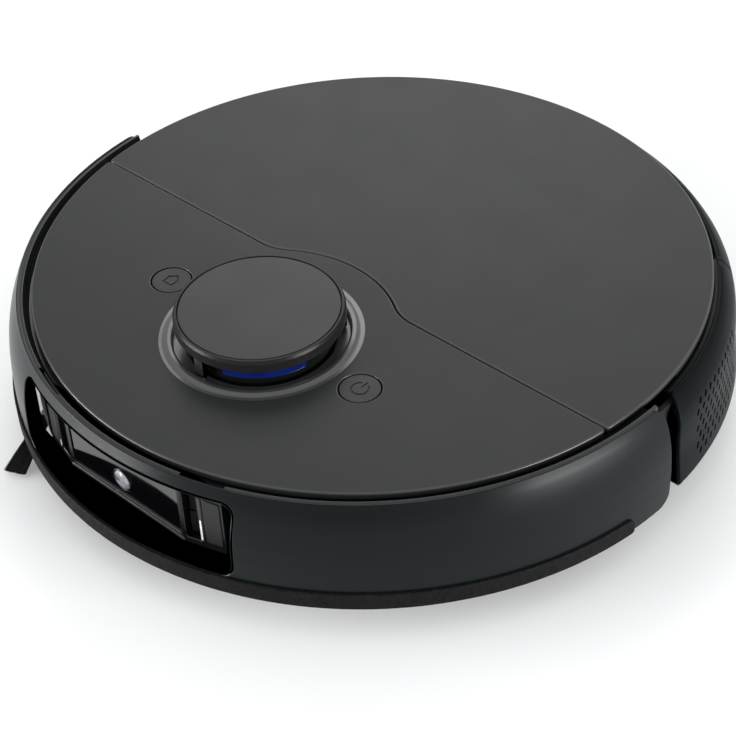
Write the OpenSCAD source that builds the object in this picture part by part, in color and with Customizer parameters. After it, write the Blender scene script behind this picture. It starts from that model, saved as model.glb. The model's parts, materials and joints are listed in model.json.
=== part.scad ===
// Disc-shaped robot vacuum with a laser turret, a lift-up rear lid and a rear water tank.
// +Z is up, the floor is z = 0 and the front of the robot looks along -Y.

/* [Body] */
// Largest radius of the body, over the bumper strip
body_r = 175; // [174:0.5:176]
// Height of the flat top above the floor
top_z = 70.5; // [70:0.5:72]
// Height of the flat underside above the floor
base_z = 12; // [11.5:0.5:12.5]
// Radius of the flat top disc
disc_r = 159.3; // [159:0.1:159.5]
// Thickness of plain moulded walls
wall = 2; // [1.8:0.1:2.2]

/* [Turret] */
// Distance of the turret's axis in front of the body's centre
turret_y = -72.5; // [-73:0.1:-72]
// Height of the turret's top above the floor
turret_top = 85.4; // [84:0.2:87]
// Outer radius of the turret cap
cap_r = 39; // [38.6:0.1:39.4]

/* [Lid] */
// Where the straight part of the seam crosses the body, along Y
seam_y = -25; // [-26:0.5:-24]
// Radius of the seam's bump around the turret
bump_r = 61.7; // [61:0.1:62.5]
// Radius that blends the bump into the straight seam
blend_r = 24; // [20:1:28]
// Width of the seam
seam_gap = 0.7; // [0.5:0.1:0.9]

/* [Wheels] */
// Radius of a drive wheel over its tyre
wheel_r = 29; // [28.5:0.5:29]
// Distance of each drive wheel's middle from the centre plane
wheel_x = 116; // [115:0.5:116]
// Width of a tyre
tyre_w = 20; // [16:1:20]

/* [Brushes] */
// Radius of the main brush over its blades
brush_r = 17; // [16:0.5:17]
// Distance of the main brush's axis in front of the body's centre
brush_y = -27; // [-27.5:0.5:-26.5]
// Reach of the side brush's bristles from its shaft
side_reach = 66.6; // [62:0.2:66.8]

/* [Travels] */
// How far the bumper gives way
bumper_travel = 2.5; // [2:0.1:2.5]

/* [Hidden] */
$fn = 96;
big = 400;

// Heights shared between the sub-parts
floor_t = 2.4;
floor_top = base_z + floor_t;
frame_z = 61.6;
frame_t = 2;
frame_top = frame_z + frame_t;
strip_z = 18;
strip_h = 9;
skirt_z = top_z - 4.5;

// Base tray
tray_r = 163;
tray_wall = 2.4;
tank_y = 83;
tank_half = 113.5;
panel_end = 130.9;
tank_cover_start = 131.1;

// Outline of the side walls and of the tank's cover, from the bottom up, as [radius, height]
ledge_r = 160;
side_ledge = 66.2;
side_line = [[173.5, 20], [171.6, 38], [171.1, 48], [170.5, 54], [169.2, 58.5], [166, 63.4],
             [163, side_ledge]];
side_inner = [[164.8, 61.6], [167.4, 57.6], [168.6, 54], [169.2, 48], [169.7, 38], [171.6, 20]];

// Vent slots in the side panels, in leaning rows; angles in degrees
vent_rows = 7;
vent_cols = 13;
vent_first = 94.31;
vent_start = 98.6;
vent_end = 118;
vent_pitch = 1.847;
vent_lean = 0.967;
vent_z = 27.8;
vent_rise = 4.59;
vent_long = 3.1;
vent_r = 0.92;

// Sensor recess in the bumper
recess_half = 67;
recess_low = 26.8;
recess_high = 65.6;
recess_corner = 7;
bumper_end = 1.8;
panel_y = bumper_end + bumper_travel + 6.3;
end_corner = 7.5;
liner_t = 1.2;
sensor_y = -160;
sensor_half = 37;
lens_z = 41.8;

// Side brush
side_x = -106;
side_y = -106;
side_rest = -65;
brush_arm = 24;
fan_half = 5.9;
fan_t = 2;

// Caster
caster_y = -122;
caster_r = 11.6;

// Height where the floor's screw bosses meet the frame's posts
boss_z = 22.2;

// Wheel modules
arm_x0 = 90;
arm_w = 14;
pivot_y = 46;
pivot_z = 40;
pivot_r = 3;
well_x0 = 86;
well_x1 = 131;
well_y0 = -35;
well_y1 = 62;
run_gap = 0.06;
spring_x = 105.2;

// Main brush
brush_z = 18;
brush_x0 = -80;
brush_x1 = 66;
cavity_r = 20.5;
house_y0 = -50;
house_y1 = -4;
house_top = 44;

// Dust bin and blower
bin_x0 = -74;
bin_x1 = 22;
bin_y0 = 0.6;
bin_y1 = 79;
bin_z0 = 15;
bin_z1 = 61;
mouth_x0 = -56;
mouth_x1 = 2;
mouth_z0 = 26;
mouth_z1 = 40;
blower_x = 54;
blower_y = 40;

// Turret and its drive
collar_r = 40.1;
pillar_angles = [-90, 52, 128];
rotor_r = 33.6;
window_t = 0.8;
window_heading = 48;
ledge_z = top_z - 2.2;
foot_z = top_z - 1;
motor_dx = -46;
motor_dy = -36;
pulley_r = 5;
groove_r = 29.4;

// Buttons beside the turret
button_x = 60;
button_y = -72.2;
button_r = 9.3;

// Finger grip in the tank's cover
grip_half = 23.5;
grip_z = 54;

// Lid hinge: a hidden axis along the lid's front edge
hinge_y = seam_y + seam_gap / 2 + 1.1;
hinge_z = top_z - 1;
lid_arm_x = 139;
lid_arm_w = 5;

// Angle a is measured from the robot's nose, -Y, towards +X.
function spot(r, a) = [r * sin(a), -r * cos(a)];

// A pie slice from angle a0 to a1, for trimming rings.
module slice(a0, a1, z0, z1, r = 260) {
    translate([0, 0, z0])
        linear_extrude(z1 - z0)
            polygon(concat([[0, 0]], [for (i = [0:8]) spot(r, a0 + (a1 - a0) * i / 8)]));
}

// A ring swept around the body's axis from angle a0 to a1.
module ring_part(profile, a0, a1, z0 = 0, z1 = 120) {
    intersection() {
        rotate_extrude($fn = 180) polygon(profile);
        slice(a0, a1, z0, z1);
    }
}

// A block between two corners.
module block(low, high) {
    translate(low) cube(high - low);
}

// An upright cylinder between two heights.
module post(x, y, z0, z1, r) {
    translate([x, y, z0]) cylinder(h = z1 - z0, r = r);
}

// A cylinder along X between x0 and x1.
module bar_x(x0, x1, y, z, r) {
    translate([x0, y, z]) rotate([0, 90, 0]) cylinder(h = x1 - x0, r = r);
}

// A cylinder along Y between y0 and y1.
module bar_y(y0, y1, x, z, r) {
    translate([x, y0, z]) rotate([-90, 0, 0]) cylinder(h = y1 - y0, r = r);
}

// Rounds the corners of the bumper's two ends, seen along X.
module bumper_side_outline() {
    translate([-200, 0, 0]) rotate([90, 0, 90]) linear_extrude(400) polygon(concat(
        [[-200, strip_z - 1]], arc(bumper_end - end_corner, strip_z + end_corner, end_corner, -90, 0, 8),
        arc(bumper_end - end_corner, 71.2 - end_corner, end_corner, 0, 90, 8), [[-200, 71.2]]));
}

// A rectangle with round corners, seen along Y, between y0 and y1.
module slab_y(half_x, z0, z1, corner, y0, y1) {
    translate([0, y0, 0]) rotate([-90, 0, 0]) linear_extrude(y1 - y0) {
        translate([-half_x + corner, -z1]) square([2 * (half_x - corner), z1 - z0]);
        translate([-half_x, -z1 + corner]) square([2 * half_x, z1 - z0 - 2 * corner]);
        for (sx = [-1, 1], z = [z0 + corner, z1 - corner])
            translate([sx * (half_x - corner), -z]) circle(r = corner, $fn = 32);
    }
}

// Points along an arc from angle a0 to a1.
function arc(x, y, r, a0, a1, steps) =
    [for (i = [0:steps]) [x, y] + r * [cos(a0 + (a1 - a0) * i / steps), sin(a0 + (a1 - a0) * i / steps)]];

// Everything in front of the seam, moved back by grow. The bump is an arc, and so are its blends.
module front_zone(z0, z1, grow) {
    line_y = seam_y + grow;
    arc_r = bump_r + grow;
    bend_r = blend_r - grow;
    bend_y = line_y + bend_r;
    bend_x = sqrt(pow(arc_r + bend_r, 2) - pow(bend_y - turret_y, 2));
    meet = atan2(bend_y - turret_y, bend_x);
    translate([0, 0, z0]) linear_extrude(z1 - z0) polygon(concat(
        [[-big, -big], [big, -big], [big, line_y]],
        arc(bend_x, bend_y, bend_r, -90, meet - 180, 10),
        arc(0, turret_y, arc_r, meet + 2, 178 - meet, 22),
        arc(-bend_x, bend_y, bend_r, -meet, -90, 10),
        [[-big, line_y]]));
}

// The flat top disc with its rounded rim and its short skirt.
module top_disc() {
    rotate_extrude($fn = 180)
        polygon([[0, top_z - 2.3], [150, top_z - 2.3], [150, skirt_z], [157.5, skirt_z],
                 [disc_r, skirt_z + 1.2], [disc_r, top_z - 1.3], [disc_r - 0.35, top_z - 0.5],
                 [disc_r - 1, top_z - 0.1], [disc_r - 1.8, top_z], [0, top_z]]);
}

module wheel_pair_box(side, x0, x1, y0, y1, z0, z1) {
    low = side > 0 ? x0 : -x1;
    block([low, y0, z0], [low + x1 - x0, y1, z1]);
}

// Underside shell: floor, outer wall, wells for the wheels, caster and brushes.
module base_tray() {
    color([0.12, 0.13, 0.14]) difference() {
        union() {
            difference() {
                rotate_extrude($fn = 180)
                    polygon([[0, base_z], [150, base_z], [tray_r, 22], [tray_r, frame_z],
                             [tray_r - tray_wall, frame_z], [tray_r - tray_wall, 23],
                             [149, floor_top], [0, floor_top]]);
                // the rear is open for the water tank
                block([-tank_half, tank_y, 0], [tank_half, big, 100]);
                difference() {
                    slice(panel_end - 0.4, 360 - panel_end + 0.4, 0, 100);
                    post(0, 0, -1, 101, 150);
                }
                // the wall makes room for the forward sensors
                block([-68, -big, 22], [68, -140, 100]);
            }
            // the floor reaches the tank bay beside the side panels
            for (sx = [-1, 1]) {
                wheel_pair_box(sx, well_x0, well_x1, well_y0, well_y1, base_z, frame_z);
            }
            intersection() {
                block([-tank_half - wall, tank_y - wall, base_z], [tank_half + wall, tank_y, frame_z]);
                cylinder(h = 100, r = 150);
            }
            // caster well
            post(0, caster_y, base_z, 38, 22);
            // main brush housing
            block([brush_x0 - 6, house_y0, base_z], [brush_x1 + 2, house_y1, house_top]);
            // side brush motor cup
            post(side_x, side_y, base_z, 26, 17);
            // suspension pivot bosses
            for (sx = [-1, 1]) wheel_pair_box(sx, well_x0, well_x0 + 3, 40, 52, base_z, 50);
            // screw bosses
            for (p = screw_spots()) post(p[0], p[1], base_z, boss_z, 4.5);
        }
        // wheel wells, open below
        for (sx = [-1, 1]) {
            wheel_pair_box(sx, well_x0 + wall, well_x1 - wall, well_y0 + wall, well_y1 - wall, 0, 100);
        }
        // caster well and its stem's bore
        post(0, caster_y, 0, 32, 19.6);
        post(0, caster_y, 0, 60, 4.05);
        // main brush cavity, open below, with the suction slot to the dust bin
        bar_x(brush_x0 - 4, brush_x1, brush_y, brush_z, cavity_r);
        block([brush_x0 - 4, brush_y - cavity_r, 0], [brush_x1, brush_y + cavity_r, brush_z]);
        block([mouth_x0, brush_y, mouth_z0], [mouth_x1, house_y1 + 1, mouth_z1]);
        // seat of the brush guard's rim
        block([brush_x0 - 6.1, house_y0 - 3, 0], [brush_x1 + 4, house_y1 + 3, base_z + 1.2]);
        // side brush shaft bore and motor cup
        post(side_x, side_y, 0, 60, 3.3);
        post(side_x, side_y, floor_top, 60, 15.2);
        // battery opening in the floor
        block([28, -124, 0], [112, -74, 100]);
        // pockets for the charging contacts and the cliff windows
        for (sx = [-1, 1]) block([sx * 34 - 8.2, -146.2, 0], [sx * 34 + 8.2, -137.8, base_z + 1]);
        for (p = cliff_spots()) post(p[0], p[1], 0, base_z + 1, 6.2);
        // exhaust opening beside the right side panel
        block([140, 65, 24], [170, 79, 46]);
        // screw holes
        for (p = screw_spots()) {
            post(p[0], p[1], 0, base_z + 1.8, 3.1);
            post(p[0], p[1], 0, 60, 1.6);
        }
        // suspension pin bores
        for (sx = [-1, 1]) bar_x(sx * 100 - 50, sx * 100 + 50, pivot_y, pivot_z, pivot_r);
    }
    // outer suspension bosses, standing on the wells' rear walls
    color([0.12, 0.13, 0.14]) for (sx = [-1, 1]) difference() {
        wheel_pair_box(sx, 109, 114, 41, well_y1 - wall, 34, 46);
        bar_x(sx * 111 - 6, sx * 111 + 6, pivot_y, pivot_z, pivot_r);
    }
}

function screw_spots() = [[-136, -72], [136, -72], [-62, -138], [62, -138], [-140, 56], [140, 56],
                          [-84, -62], [84, -62]];
function cliff_spots() = [[-52, -128], [52, -139], [-146, -20], [146, -20]];

// Inner plate that ties the wells together and carries the top parts.
module mid_frame() {
    color([0.2, 0.21, 0.22]) {
        difference() {
            post(0, 0, frame_z, frame_top, 153.5);
            // bay for the dust bin
            block([bin_x0 - 1, bin_y0 - 1, 0], [bin_x1 + 1, bin_y1 + 1, 100]);
            // bearing opening and motor hole under the turret
            post(0, turret_y, 0, 100, 43);
            post(motor_dx, turret_y + motor_dy, 0, 100, 3);
            // button stems
            for (sx = [-1, 1]) post(sx * button_x, button_y, 0, 100, 3.6);
            // ways for the lid's curved arms
            for (sx = [-1, 1]) arm_way(sx);
            // room for the forward sensors and the bumper's surround
            block([-66, -big, 0], [66, -146.8, 100]);
            // clearance above the blower's duct
            block([30, 24, 0], [78, 56, 100]);
        }
        // seat under the rim of the top
        difference() {
            post(0, 0, frame_top, skirt_z, 153);
            post(0, 0, 0, 100, 150.5);
            block([-big, hinge_y - 4, frame_top], [big, big, 100]);
            block([-66, -big, 0], [66, -100, 100]);
        }
        difference() {
            post(0, 0, frame_top, skirt_z - 0.4, 153);
            post(0, 0, 0, 100, 150.5);
            block([-big, -big, frame_top], [big, -18, 100]);
        }
        // long posts down to the floor's screws
        for (p = screw_spots()) difference() {
            post(p[0], p[1], boss_z, frame_z, 3.6);
            post(p[0], p[1], 0, base_z + 16, 1.25);
        }
    }
}

// The slot that one curved lid arm passes through.
module arm_way(sx) {
    half = lid_arm_w / 2 + 1.5;
    block([sx * lid_arm_x - half, hinge_y - 5, 0], [sx * lid_arm_x + half, hinge_y + 20, 100]);
}

// Fixed front half of the top, with the turret's collar and the button holes.
module top_cover() {
    color([0.25, 0.255, 0.26]) difference() {
        union() {
            intersection() {
                top_disc();
                front_zone(0, 100, -seam_gap / 2);
            }
            // collar with its soft lip
            translate([0, turret_y, 0]) rotate_extrude()
                polygon([[collar_r, top_z - 2], [43.4, top_z - 2], [43.4, top_z - 0.1],
                         [42.4, top_z + 0.35], [41.4, top_z + 0.6], [40.6, top_z + 0.5],
                         [collar_r, top_z]]);
            // ledge that carries the turret cover's feet
            post(0, turret_y, top_z - 3.9, ledge_z, 42);
            // guide tubes of the buttons
            for (sx = [-1, 1]) post(sx * button_x, button_y, frame_top, top_z - 2.2, 5.4);
        }
        post(0, turret_y, 0, 100, 34.6);
        post(0, turret_y, ledge_z, 100, collar_r);
        for (sx = [-1, 1]) {
            post(sx * button_x, button_y, top_z - 3, 100, button_r + 0.5);
            post(sx * button_x, button_y, 0, 100, 3.4);
        }
    }
}

// Everything behind the side panels' front edge, which leans back above the shoulder.
module panel_zone() {
    rotate([90, 0, 90]) translate([0, 0, -big]) linear_extrude(2 * big)
        polygon([[panel_y, 0], [panel_y, 48], [panel_y + 1.6, 57], [panel_y + 4.4, side_ledge + 1],
                 [big, side_ledge + 1], [big, 0]]);
}

// Fixed side wall behind the bumper, with a field of slanted vent holes.
module side_panel(side) {
    color([0.16, 0.19, 0.2]) difference() {
        intersection() {
            union() {
                rotate_extrude($fn = 180) polygon(concat(side_line,
                    [[ledge_r, side_ledge], [ledge_r, 65.3], [154, 65.3], [154, frame_top],
                     [163, frame_top]], side_inner));
                // closed front end
                intersection() {
                    rotate_extrude($fn = 180)
                        polygon(concat(side_line, [[163, 64], [163.5, 64], [163.5, side_line[0][1]]]));
                    block([-big, 0, 0], [big, panel_y + 2.4, 100]);
                }
            }
            panel_zone();
            slice(side > 0 ? 80 : -panel_end, side > 0 ? panel_end : -80, 0, 100);
        }
        for (row = [0:vent_rows - 1], col = [0:vent_cols - 1]) {
            a = vent_first + row * vent_lean + col * vent_pitch;
            if (a > vent_start && a < vent_end) vent(side, a, vent_z + row * vent_rise);
        }
    }
}

// A slanted slot with round ends, cut through the side wall.
module vent(side, a, z) {
    tilt = atan2(vent_lean * body_r * PI / 180, vent_rise);
    half = vent_long / 2 - vent_r;
    translate([0, 0, z]) rotate([0, 0, side * a]) translate([0, -body_r, 0]) rotate([-90, 0, 0])
        rotate([0, 0, side * tilt]) linear_extrude(8)
            polygon(concat(arc(0, half, vent_r, 0, 180, 4), arc(0, -half, vent_r, 180, 360, 4)));
}
module side_panel_left() { side_panel(-1); }
module side_panel_right() { side_panel(1); }

// Outline of the forward sensor module, seen from above.
module sensor_outline(grow) {
    back_half = 57.4 + grow;
    polygon([[-sensor_half - grow, sensor_y - grow], [sensor_half + grow, sensor_y - grow],
             [back_half, -154 - grow], [back_half, -149], [-back_half, -149], [-back_half, -154 - grow]]);
}

// Black module with the forward camera and the line lasers.
module sensor_housing() {
    color([0.03, 0.03, 0.035]) difference() {
        union() {
            translate([0, 0, 29.5]) linear_extrude(34.2) sensor_outline(0);
            block([-58, -149, 26], [58, -147.2, 58]);
            for (sx = [-1, 1]) block([sx * 49 - 6, -149, 22], [sx * 49 + 6, -147.2, 30]);
        }
        // shallow seats of the windows and of the lens
        block([-35, sensor_y - 1, 33], [35, sensor_y + 1, 59]);
        bar_y(sensor_y - 5, sensor_y + 8, -1.7, lens_z, 6);
        for (sx = [-1, 1]) laser_seat(sx, 0);
    }
}
module laser_seat(sx, gap) {
    tilt = atan2(6, 23);
    translate([sx * 48.5, -157, 46]) rotate([0, 0, sx * tilt])
        translate([-7 + gap, -0.8, -12 + gap]) cube([14 - 2 * gap, 1.6 - gap, 24 - 2 * gap]);
}
// The window of the forward sensors and the two slit windows of the line lasers.
module sensor_windows() {
    color([0.02, 0.02, 0.03, 0.8]) {
        difference() {
            block([-34.8, sensor_y, 33.2], [34.8, sensor_y + 1, 58.8]);
            bar_y(sensor_y - 2, sensor_y + 3, -1.7, lens_z, 6.1);
        }
        for (sx = [-1, 1]) laser_seat(sx, 0.2);
    }
}
module camera_lens() {
    color([0.05, 0.06, 0.1]) {
        bar_y(sensor_y + 0.8, sensor_y + 7.9, -1.7, lens_z, 5.9);
        translate([-1.7, sensor_y + 3.4, lens_z]) intersection() {
            sphere(r = 4.2, $fn = 48);
            block([-5, -4.2, -5], [5, -2.4, 5]);
        }
    }
}

// Plate with the bearing post that the laser rotor spins on.
module lidar_base() {
    color([0.3, 0.3, 0.32]) {
        post(0, turret_y, frame_z - 2, frame_z, 46);
        difference() {
            post(0, turret_y, frame_z, 76, 8);
            post(0, turret_y, 50, 80, 5);
        }
    }
}
module lidar_motor() {
    color([0.6, 0.6, 0.62]) post(motor_dx, turret_y + motor_dy, 47, frame_z, 10);
}
module lidar_belt() {
    reach = norm([motor_dx, motor_dy]);
    heading = atan2(motor_dy, motor_dx);
    lean = acos((groove_r - pulley_r + 1) / reach);
    color([0.08, 0.08, 0.08]) translate([0, turret_y, 64.6]) rotate([0, 0, heading]) difference() {
        union() {
            cylinder(h = 1.6, r = groove_r + 1.2);
            translate([reach, 0, 0]) cylinder(h = 1.6, r = pulley_r + 0.2);
            linear_extrude(1.6) polygon([
                (groove_r + 1.2) * [cos(lean), sin(lean)],
                [reach, 0] + (pulley_r + 0.2) * [cos(lean), sin(lean)],
                [reach, 0] + (pulley_r + 0.2) * [cos(lean), -sin(lean)],
                (groove_r + 1.2) * [cos(lean), -sin(lean)]]);
        }
        translate([0, 0, -1]) cylinder(h = 4, r = groove_r + 0.1);
        translate([reach, 0, -1]) cylinder(h = 4, r = pulley_r - 0.9);
        translate([0, 0, -1]) linear_extrude(4) polygon([
            (groove_r + 0.1) * [cos(lean), sin(lean)],
            [reach, 0] + (pulley_r - 0.9) * [cos(lean), sin(lean)],
            [reach, 0] + (pulley_r - 0.9) * [cos(lean), -sin(lean)],
            (groove_r + 0.1) * [cos(lean), -sin(lean)]]);
    }
}
module lidar_rotor() {
    color([0.04, 0.04, 0.045]) translate([0, turret_y, 0]) difference() {
        union() {
            translate([0, 0, 62.2]) cylinder(h = 2.2, r = groove_r + 1.8);
            translate([0, 0, 62.2]) cylinder(h = 8, r = groove_r);
            translate([0, 0, 66.4]) cylinder(h = 12.4, r = rotor_r);
        }
        cylinder(h = 200, r = 8 + run_gap);
        // seat of the laser's window
        window_zone(rotor_r - window_t, rotor_r + 1);
    }
}
// Curved blue-tinted window that the laser looks through.
module lidar_window() {
    color([0.02, 0.08, 0.4]) translate([0, turret_y, 0]) window_zone(rotor_r - window_t, rotor_r + 0.2);
}
module window_zone(r0, r1) {
    intersection() {
        difference() {
            cylinder(h = 77.4, r = r1);
            translate([0, 0, -1]) cylinder(h = 100, r = r0);
        }
        slice(window_heading - 33, window_heading + 33, 72.2, 77.4);
    }
}
module lidar_pulley() {
    color([0.7, 0.7, 0.72]) translate([motor_dx, turret_y + motor_dy, 0]) {
        translate([0, 0, frame_z + 0.2]) cylinder(h = 2.4, r = 1.2);
        translate([0, 0, 64]) cylinder(h = 2.8, r = pulley_r - 1);
    }
}

// Turret roof: an upright skirt on three pillars.
module turret_cover() {
    color([0.3, 0.3, 0.29]) translate([0, turret_y, 0]) {
        rotate_extrude()
            polygon([[0, 80.2], [35.6, 80.2], [35.6, 79.6], [cap_r, 79.6], [cap_r - 0.2, 83.6],
                     [cap_r - 0.6, turret_top - 0.4], [cap_r - 1, turret_top], [36.9, turret_top],
                     [36.9, turret_top - 1.4], [0, turret_top - 1.4]]);
        for (a = pillar_angles) intersection() {
            difference() {
                translate([0, 0, foot_z]) cylinder(h = 80 - foot_z, r = 38.6);
                translate([0, 0, 60]) cylinder(h = 30, r = 35.4);
            }
            rotate([0, 0, a]) block([30, -2.6, foot_z], [45, 2.6, 80]);
        }
    }
}
module turret_disc() {
    color([0.32, 0.32, 0.31]) post(0, turret_y, turret_top - 1.4, turret_top - 0.1, 36.6);
}
module turret_springs() {
    color([0.6, 0.6, 0.6]) for (a = pillar_angles)
        translate([37 * cos(a), turret_y + 37 * sin(a), ledge_z]) difference() {
            cylinder(h = foot_z - ledge_z, r = 1.3, $fn = 24);
            translate([0, 0, -1]) cylinder(h = 9, r = 0.7, $fn = 24);
        }
}

module main_board() {
    color([0.05, 0.25, 0.12]) {
        block([-72, -98, 40], [24, -54, 41.6]);
        block([-60, -70, 41.6], [-46, -58, 43.2]);
        block([-16, -72, 41.6], [-2, -60, 44]);
        block([-66, -96, 41.6], [-58, -80, 48]);
    }
}
module battery_pack() {
    color([0.1, 0.2, 0.45]) block([32, -120, 15], [108, -78, 37]);
}
module battery_cover() {
    color([0.12, 0.13, 0.14]) {
        block([28.3, -123.7, base_z], [111.7, -74.3, floor_top]);
        block([60, -123.7, floor_top], [80, -122, 22]);
    }
}

// Scroll housing of the suction blower, with the duct from the dust bin.
module blower_housing() {
    color([0.16, 0.17, 0.18]) difference() {
        union() {
            post(blower_x, blower_y, 32, 50, 28);
            block([blower_x, 55, 32], [84, 68, 50]);
            block([74, 63, 32], [134, 76, 50]);
            block([134, 63, 24], [140, 78, 50]);
            block([24.4, 26, 48], [blower_x + 13, 54, 61]);
        }
        post(blower_x, blower_y, 34, 48, 26);
        block([blower_x, 57, 34], [82, 66, 48]);
        block([76, 65, 34], [136, 74, 48]);
        block([135, 65, 26], [150, 76, 48]);
        post(blower_x, blower_y, 40, 59, 11);
        block([20, 28, 50], [blower_x + 11, 52, 59]);
        post(blower_x, blower_y, 20, 40, 3);
    }
}
module blower_motor() {
    color([0.65, 0.65, 0.67]) difference() {
        post(blower_x, blower_y, 15, 31.9, 18);
        post(blower_x, blower_y, 22, 40, 2.4);
    }
}
module blower_impeller() {
    color([0.85, 0.85, 0.84]) translate([blower_x, blower_y, 0]) {
        translate([0, 0, 23]) cylinder(h = 12, r = 2.3);
        translate([0, 0, 34.6]) cylinder(h = 1.6, r = 24);
        translate([0, 0, 36.2]) cylinder(h = 8, r = 5);
        for (i = [0:8]) rotate([0, 0, i * 40]) translate([10, -0.6, 36.2]) rotate([0, 0, -28])
            cube([13, 1.2, 10]);
    }
}

module brush_motor() {
    color([0.6, 0.6, 0.62]) bar_x(16, brush_x1 + 2.4, -37, 51.6, 7.4);
}
module brush_gearbox() {
    color([0.2, 0.2, 0.21]) difference() {
        union() {
            bar_x(brush_x1 + 2.4, brush_x1 + 15, -37, 46, 15);
            block([brush_x1 + 2.4, -46, 18], [brush_x1 + 15, -16, 46]);
        }
        bar_x(brush_x1 + 1, brush_x1 + 9, brush_y, brush_z + 4, 3);
    }
}
module brush_guard() {
    color([0.22, 0.23, 0.24]) difference() {
        block([brush_x0 - 6, house_y0 - 2.8, base_z - 0.6], [brush_x1 + 3.8, house_y1 + 2.8, base_z + 1.1]);
        block([brush_x0 - 3, brush_y - 18.6, 0], [brush_x1 + 0.6, brush_y + 18.6, 100]);
    }
}
module brush_core() {
    color([0.5, 0.5, 0.5]) {
        bar_x(brush_x0, brush_x1 - 0.6, brush_y, brush_z, 10);
        bar_x(brush_x0 - 3, brush_x0, brush_y, brush_z, 3);
    }
}
module brush_blades() {
    color([0.1, 0.3, 0.55]) for (i = [0:5])
        translate([0, brush_y, brush_z]) rotate([i * 60, 0, 0]) difference() {
            block([brush_x0 + 1, -0.9, 9.6], [brush_x1 - 1.6, 0.9, brush_r]);
            bar_x(brush_x0, brush_x1, 0, 0, 10);
        }
}

module side_brush_motor() {
    color([0.6, 0.6, 0.62]) {
        difference() {
            post(side_x, side_y, floor_top + 0.2, 40, 15);
            post(side_x, side_y, 0, 24, 2.6);
        }
        post(side_x, side_y, 40, 56, 10);
    }
}
module side_brush_hub() {
    color([0.15, 0.15, 0.16]) {
        post(side_x, side_y, 6.4, 11.4, 13);
        post(side_x, side_y, 11.4, 23, 2.5);
        for (i = [0:1]) translate([side_x, side_y, 6.4]) rotate([0, 0, side_rest + i * 180])
            block([10, -4, 0], [brush_arm, 4, 3.6]);
    }
}
// Two flat fans of bristles that droop towards the floor and widen to a straight end.
module side_brush_bristles() {
    drop = atan2(4.6, side_reach - brush_arm);
    long = (side_reach - brush_arm) / cos(drop);
    color([0.1, 0.1, 0.1]) for (i = [0:1])
        translate([side_x, side_y, 7.6]) rotate([0, 0, side_rest + i * 180])
            translate([brush_arm + 0.2, 0, 0]) rotate([0, drop, 0]) translate([0, 0, -fan_t / 2])
                linear_extrude(fan_t)
                    polygon([[0, -2.6], [long - 1, -fan_half], [long - 1, fan_half], [0, 2.6]]);
}

module charging_contacts() {
    color([0.85, 0.72, 0.4]) for (sx = [-1, 1])
        block([sx * 34 - 8, -146, base_z - 0.3], [sx * 34 + 8, -138, base_z + 0.9]);
}
module cliff_windows() {
    color([0.05, 0.02, 0.03]) for (p = cliff_spots()) post(p[0], p[1], base_z + 0.1, base_z + 0.9, 6);
}
module base_screws() {
    color([0.7, 0.7, 0.72]) for (p = screw_spots()) difference() {
        union() {
            post(p[0], p[1], base_z + 0.2, base_z + 1.7, 2.9);
            post(p[0], p[1], base_z + 1.7, base_z + 15, 1.25);
        }
        translate([p[0] - 1.8, p[1] - 0.4, base_z - 1]) cube([3.6, 0.8, 2]);
        translate([p[0] - 0.4, p[1] - 1.8, base_z - 1]) cube([0.8, 3.6, 2]);
    }
}

// Drive wheel modules. side is 1 on the +X side.
module suspension_pins() {
    color([0.75, 0.75, 0.77]) for (sx = [-1, 1])
        bar_x(sx > 0 ? 84 : -114, sx > 0 ? 114 : -84, pivot_y, pivot_z, pivot_r);
}
// A torsion spring around each pivot pin: three close turns and a leg to the rear wall.
module suspension_springs() {
    color([0.7, 0.7, 0.72]) for (sx = [-1, 1]) {
        for (i = [0:2]) translate([sx * (spring_x + i * 1.35), pivot_y, pivot_z]) rotate([0, 90, 0])
            rotate_extrude($fn = 64) translate([4.6, 0]) circle(r = 0.62, $fn = 16);
        bar_y(pivot_y + 4.7, well_y1 - wall, sx * (spring_x + 2.7), pivot_z, 0.6);
    }
}
module wheel_arm(side) {
    color([0.14, 0.14, 0.15]) difference() {
        union() {
            wheel_arm_bar(side, arm_x0, arm_x0 + arm_w, 0, wheel_r, 19);
            wheel_arm_bar(side, arm_x0, arm_x0 + arm_w, pivot_y, pivot_z, 9);
            translate([side > 0 ? arm_x0 : -arm_x0 - arm_w, 0, 0]) rotate([90, 0, 90])
                linear_extrude(arm_w)
                    polygon([[0, 15], [pivot_y, pivot_z - 8.8], [pivot_y, pivot_z + 8.8], [0, 46]]);
            wheel_arm_bar(side, arm_x0 + arm_w, 122, 0, wheel_r, 3);
        }
        wheel_arm_bar(side, 80, 120, pivot_y, pivot_z, pivot_r + run_gap);
    }
}
module wheel_arm_bar(side, x0, x1, y, z, r) {
    bar_x(side > 0 ? x0 : -x1, side > 0 ? x1 : -x0, y, z, r);
}
module wheel_arm_left() { wheel_arm(-1); }
module wheel_arm_right() { wheel_arm(1); }
module wheel_hub(side) {
    color([0.5, 0.5, 0.52]) difference() {
        union() {
            wheel_arm_bar(side, wheel_x - tyre_w / 2 + 0.6, wheel_x + tyre_w / 2 - 0.6, 0, wheel_r, 23);
        }
        wheel_arm_bar(side, wheel_x + 4, wheel_x + 20, 0, wheel_r, 19);
        wheel_arm_bar(side, wheel_x - 20, wheel_x - 4, 0, wheel_r, 19);
        wheel_arm_bar(side, wheel_x - 20, wheel_x + 20, 0, wheel_r, 3 + run_gap);
        for (i = [0:4]) translate([0, 0, wheel_r]) rotate([i * 72, 0, 0])
            wheel_arm_bar(side, wheel_x - 20, wheel_x + 20, 0, 12, 3.4);
    }
}
module wheel_hub_left() { wheel_hub(-1); }
module wheel_hub_right() { wheel_hub(1); }
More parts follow.
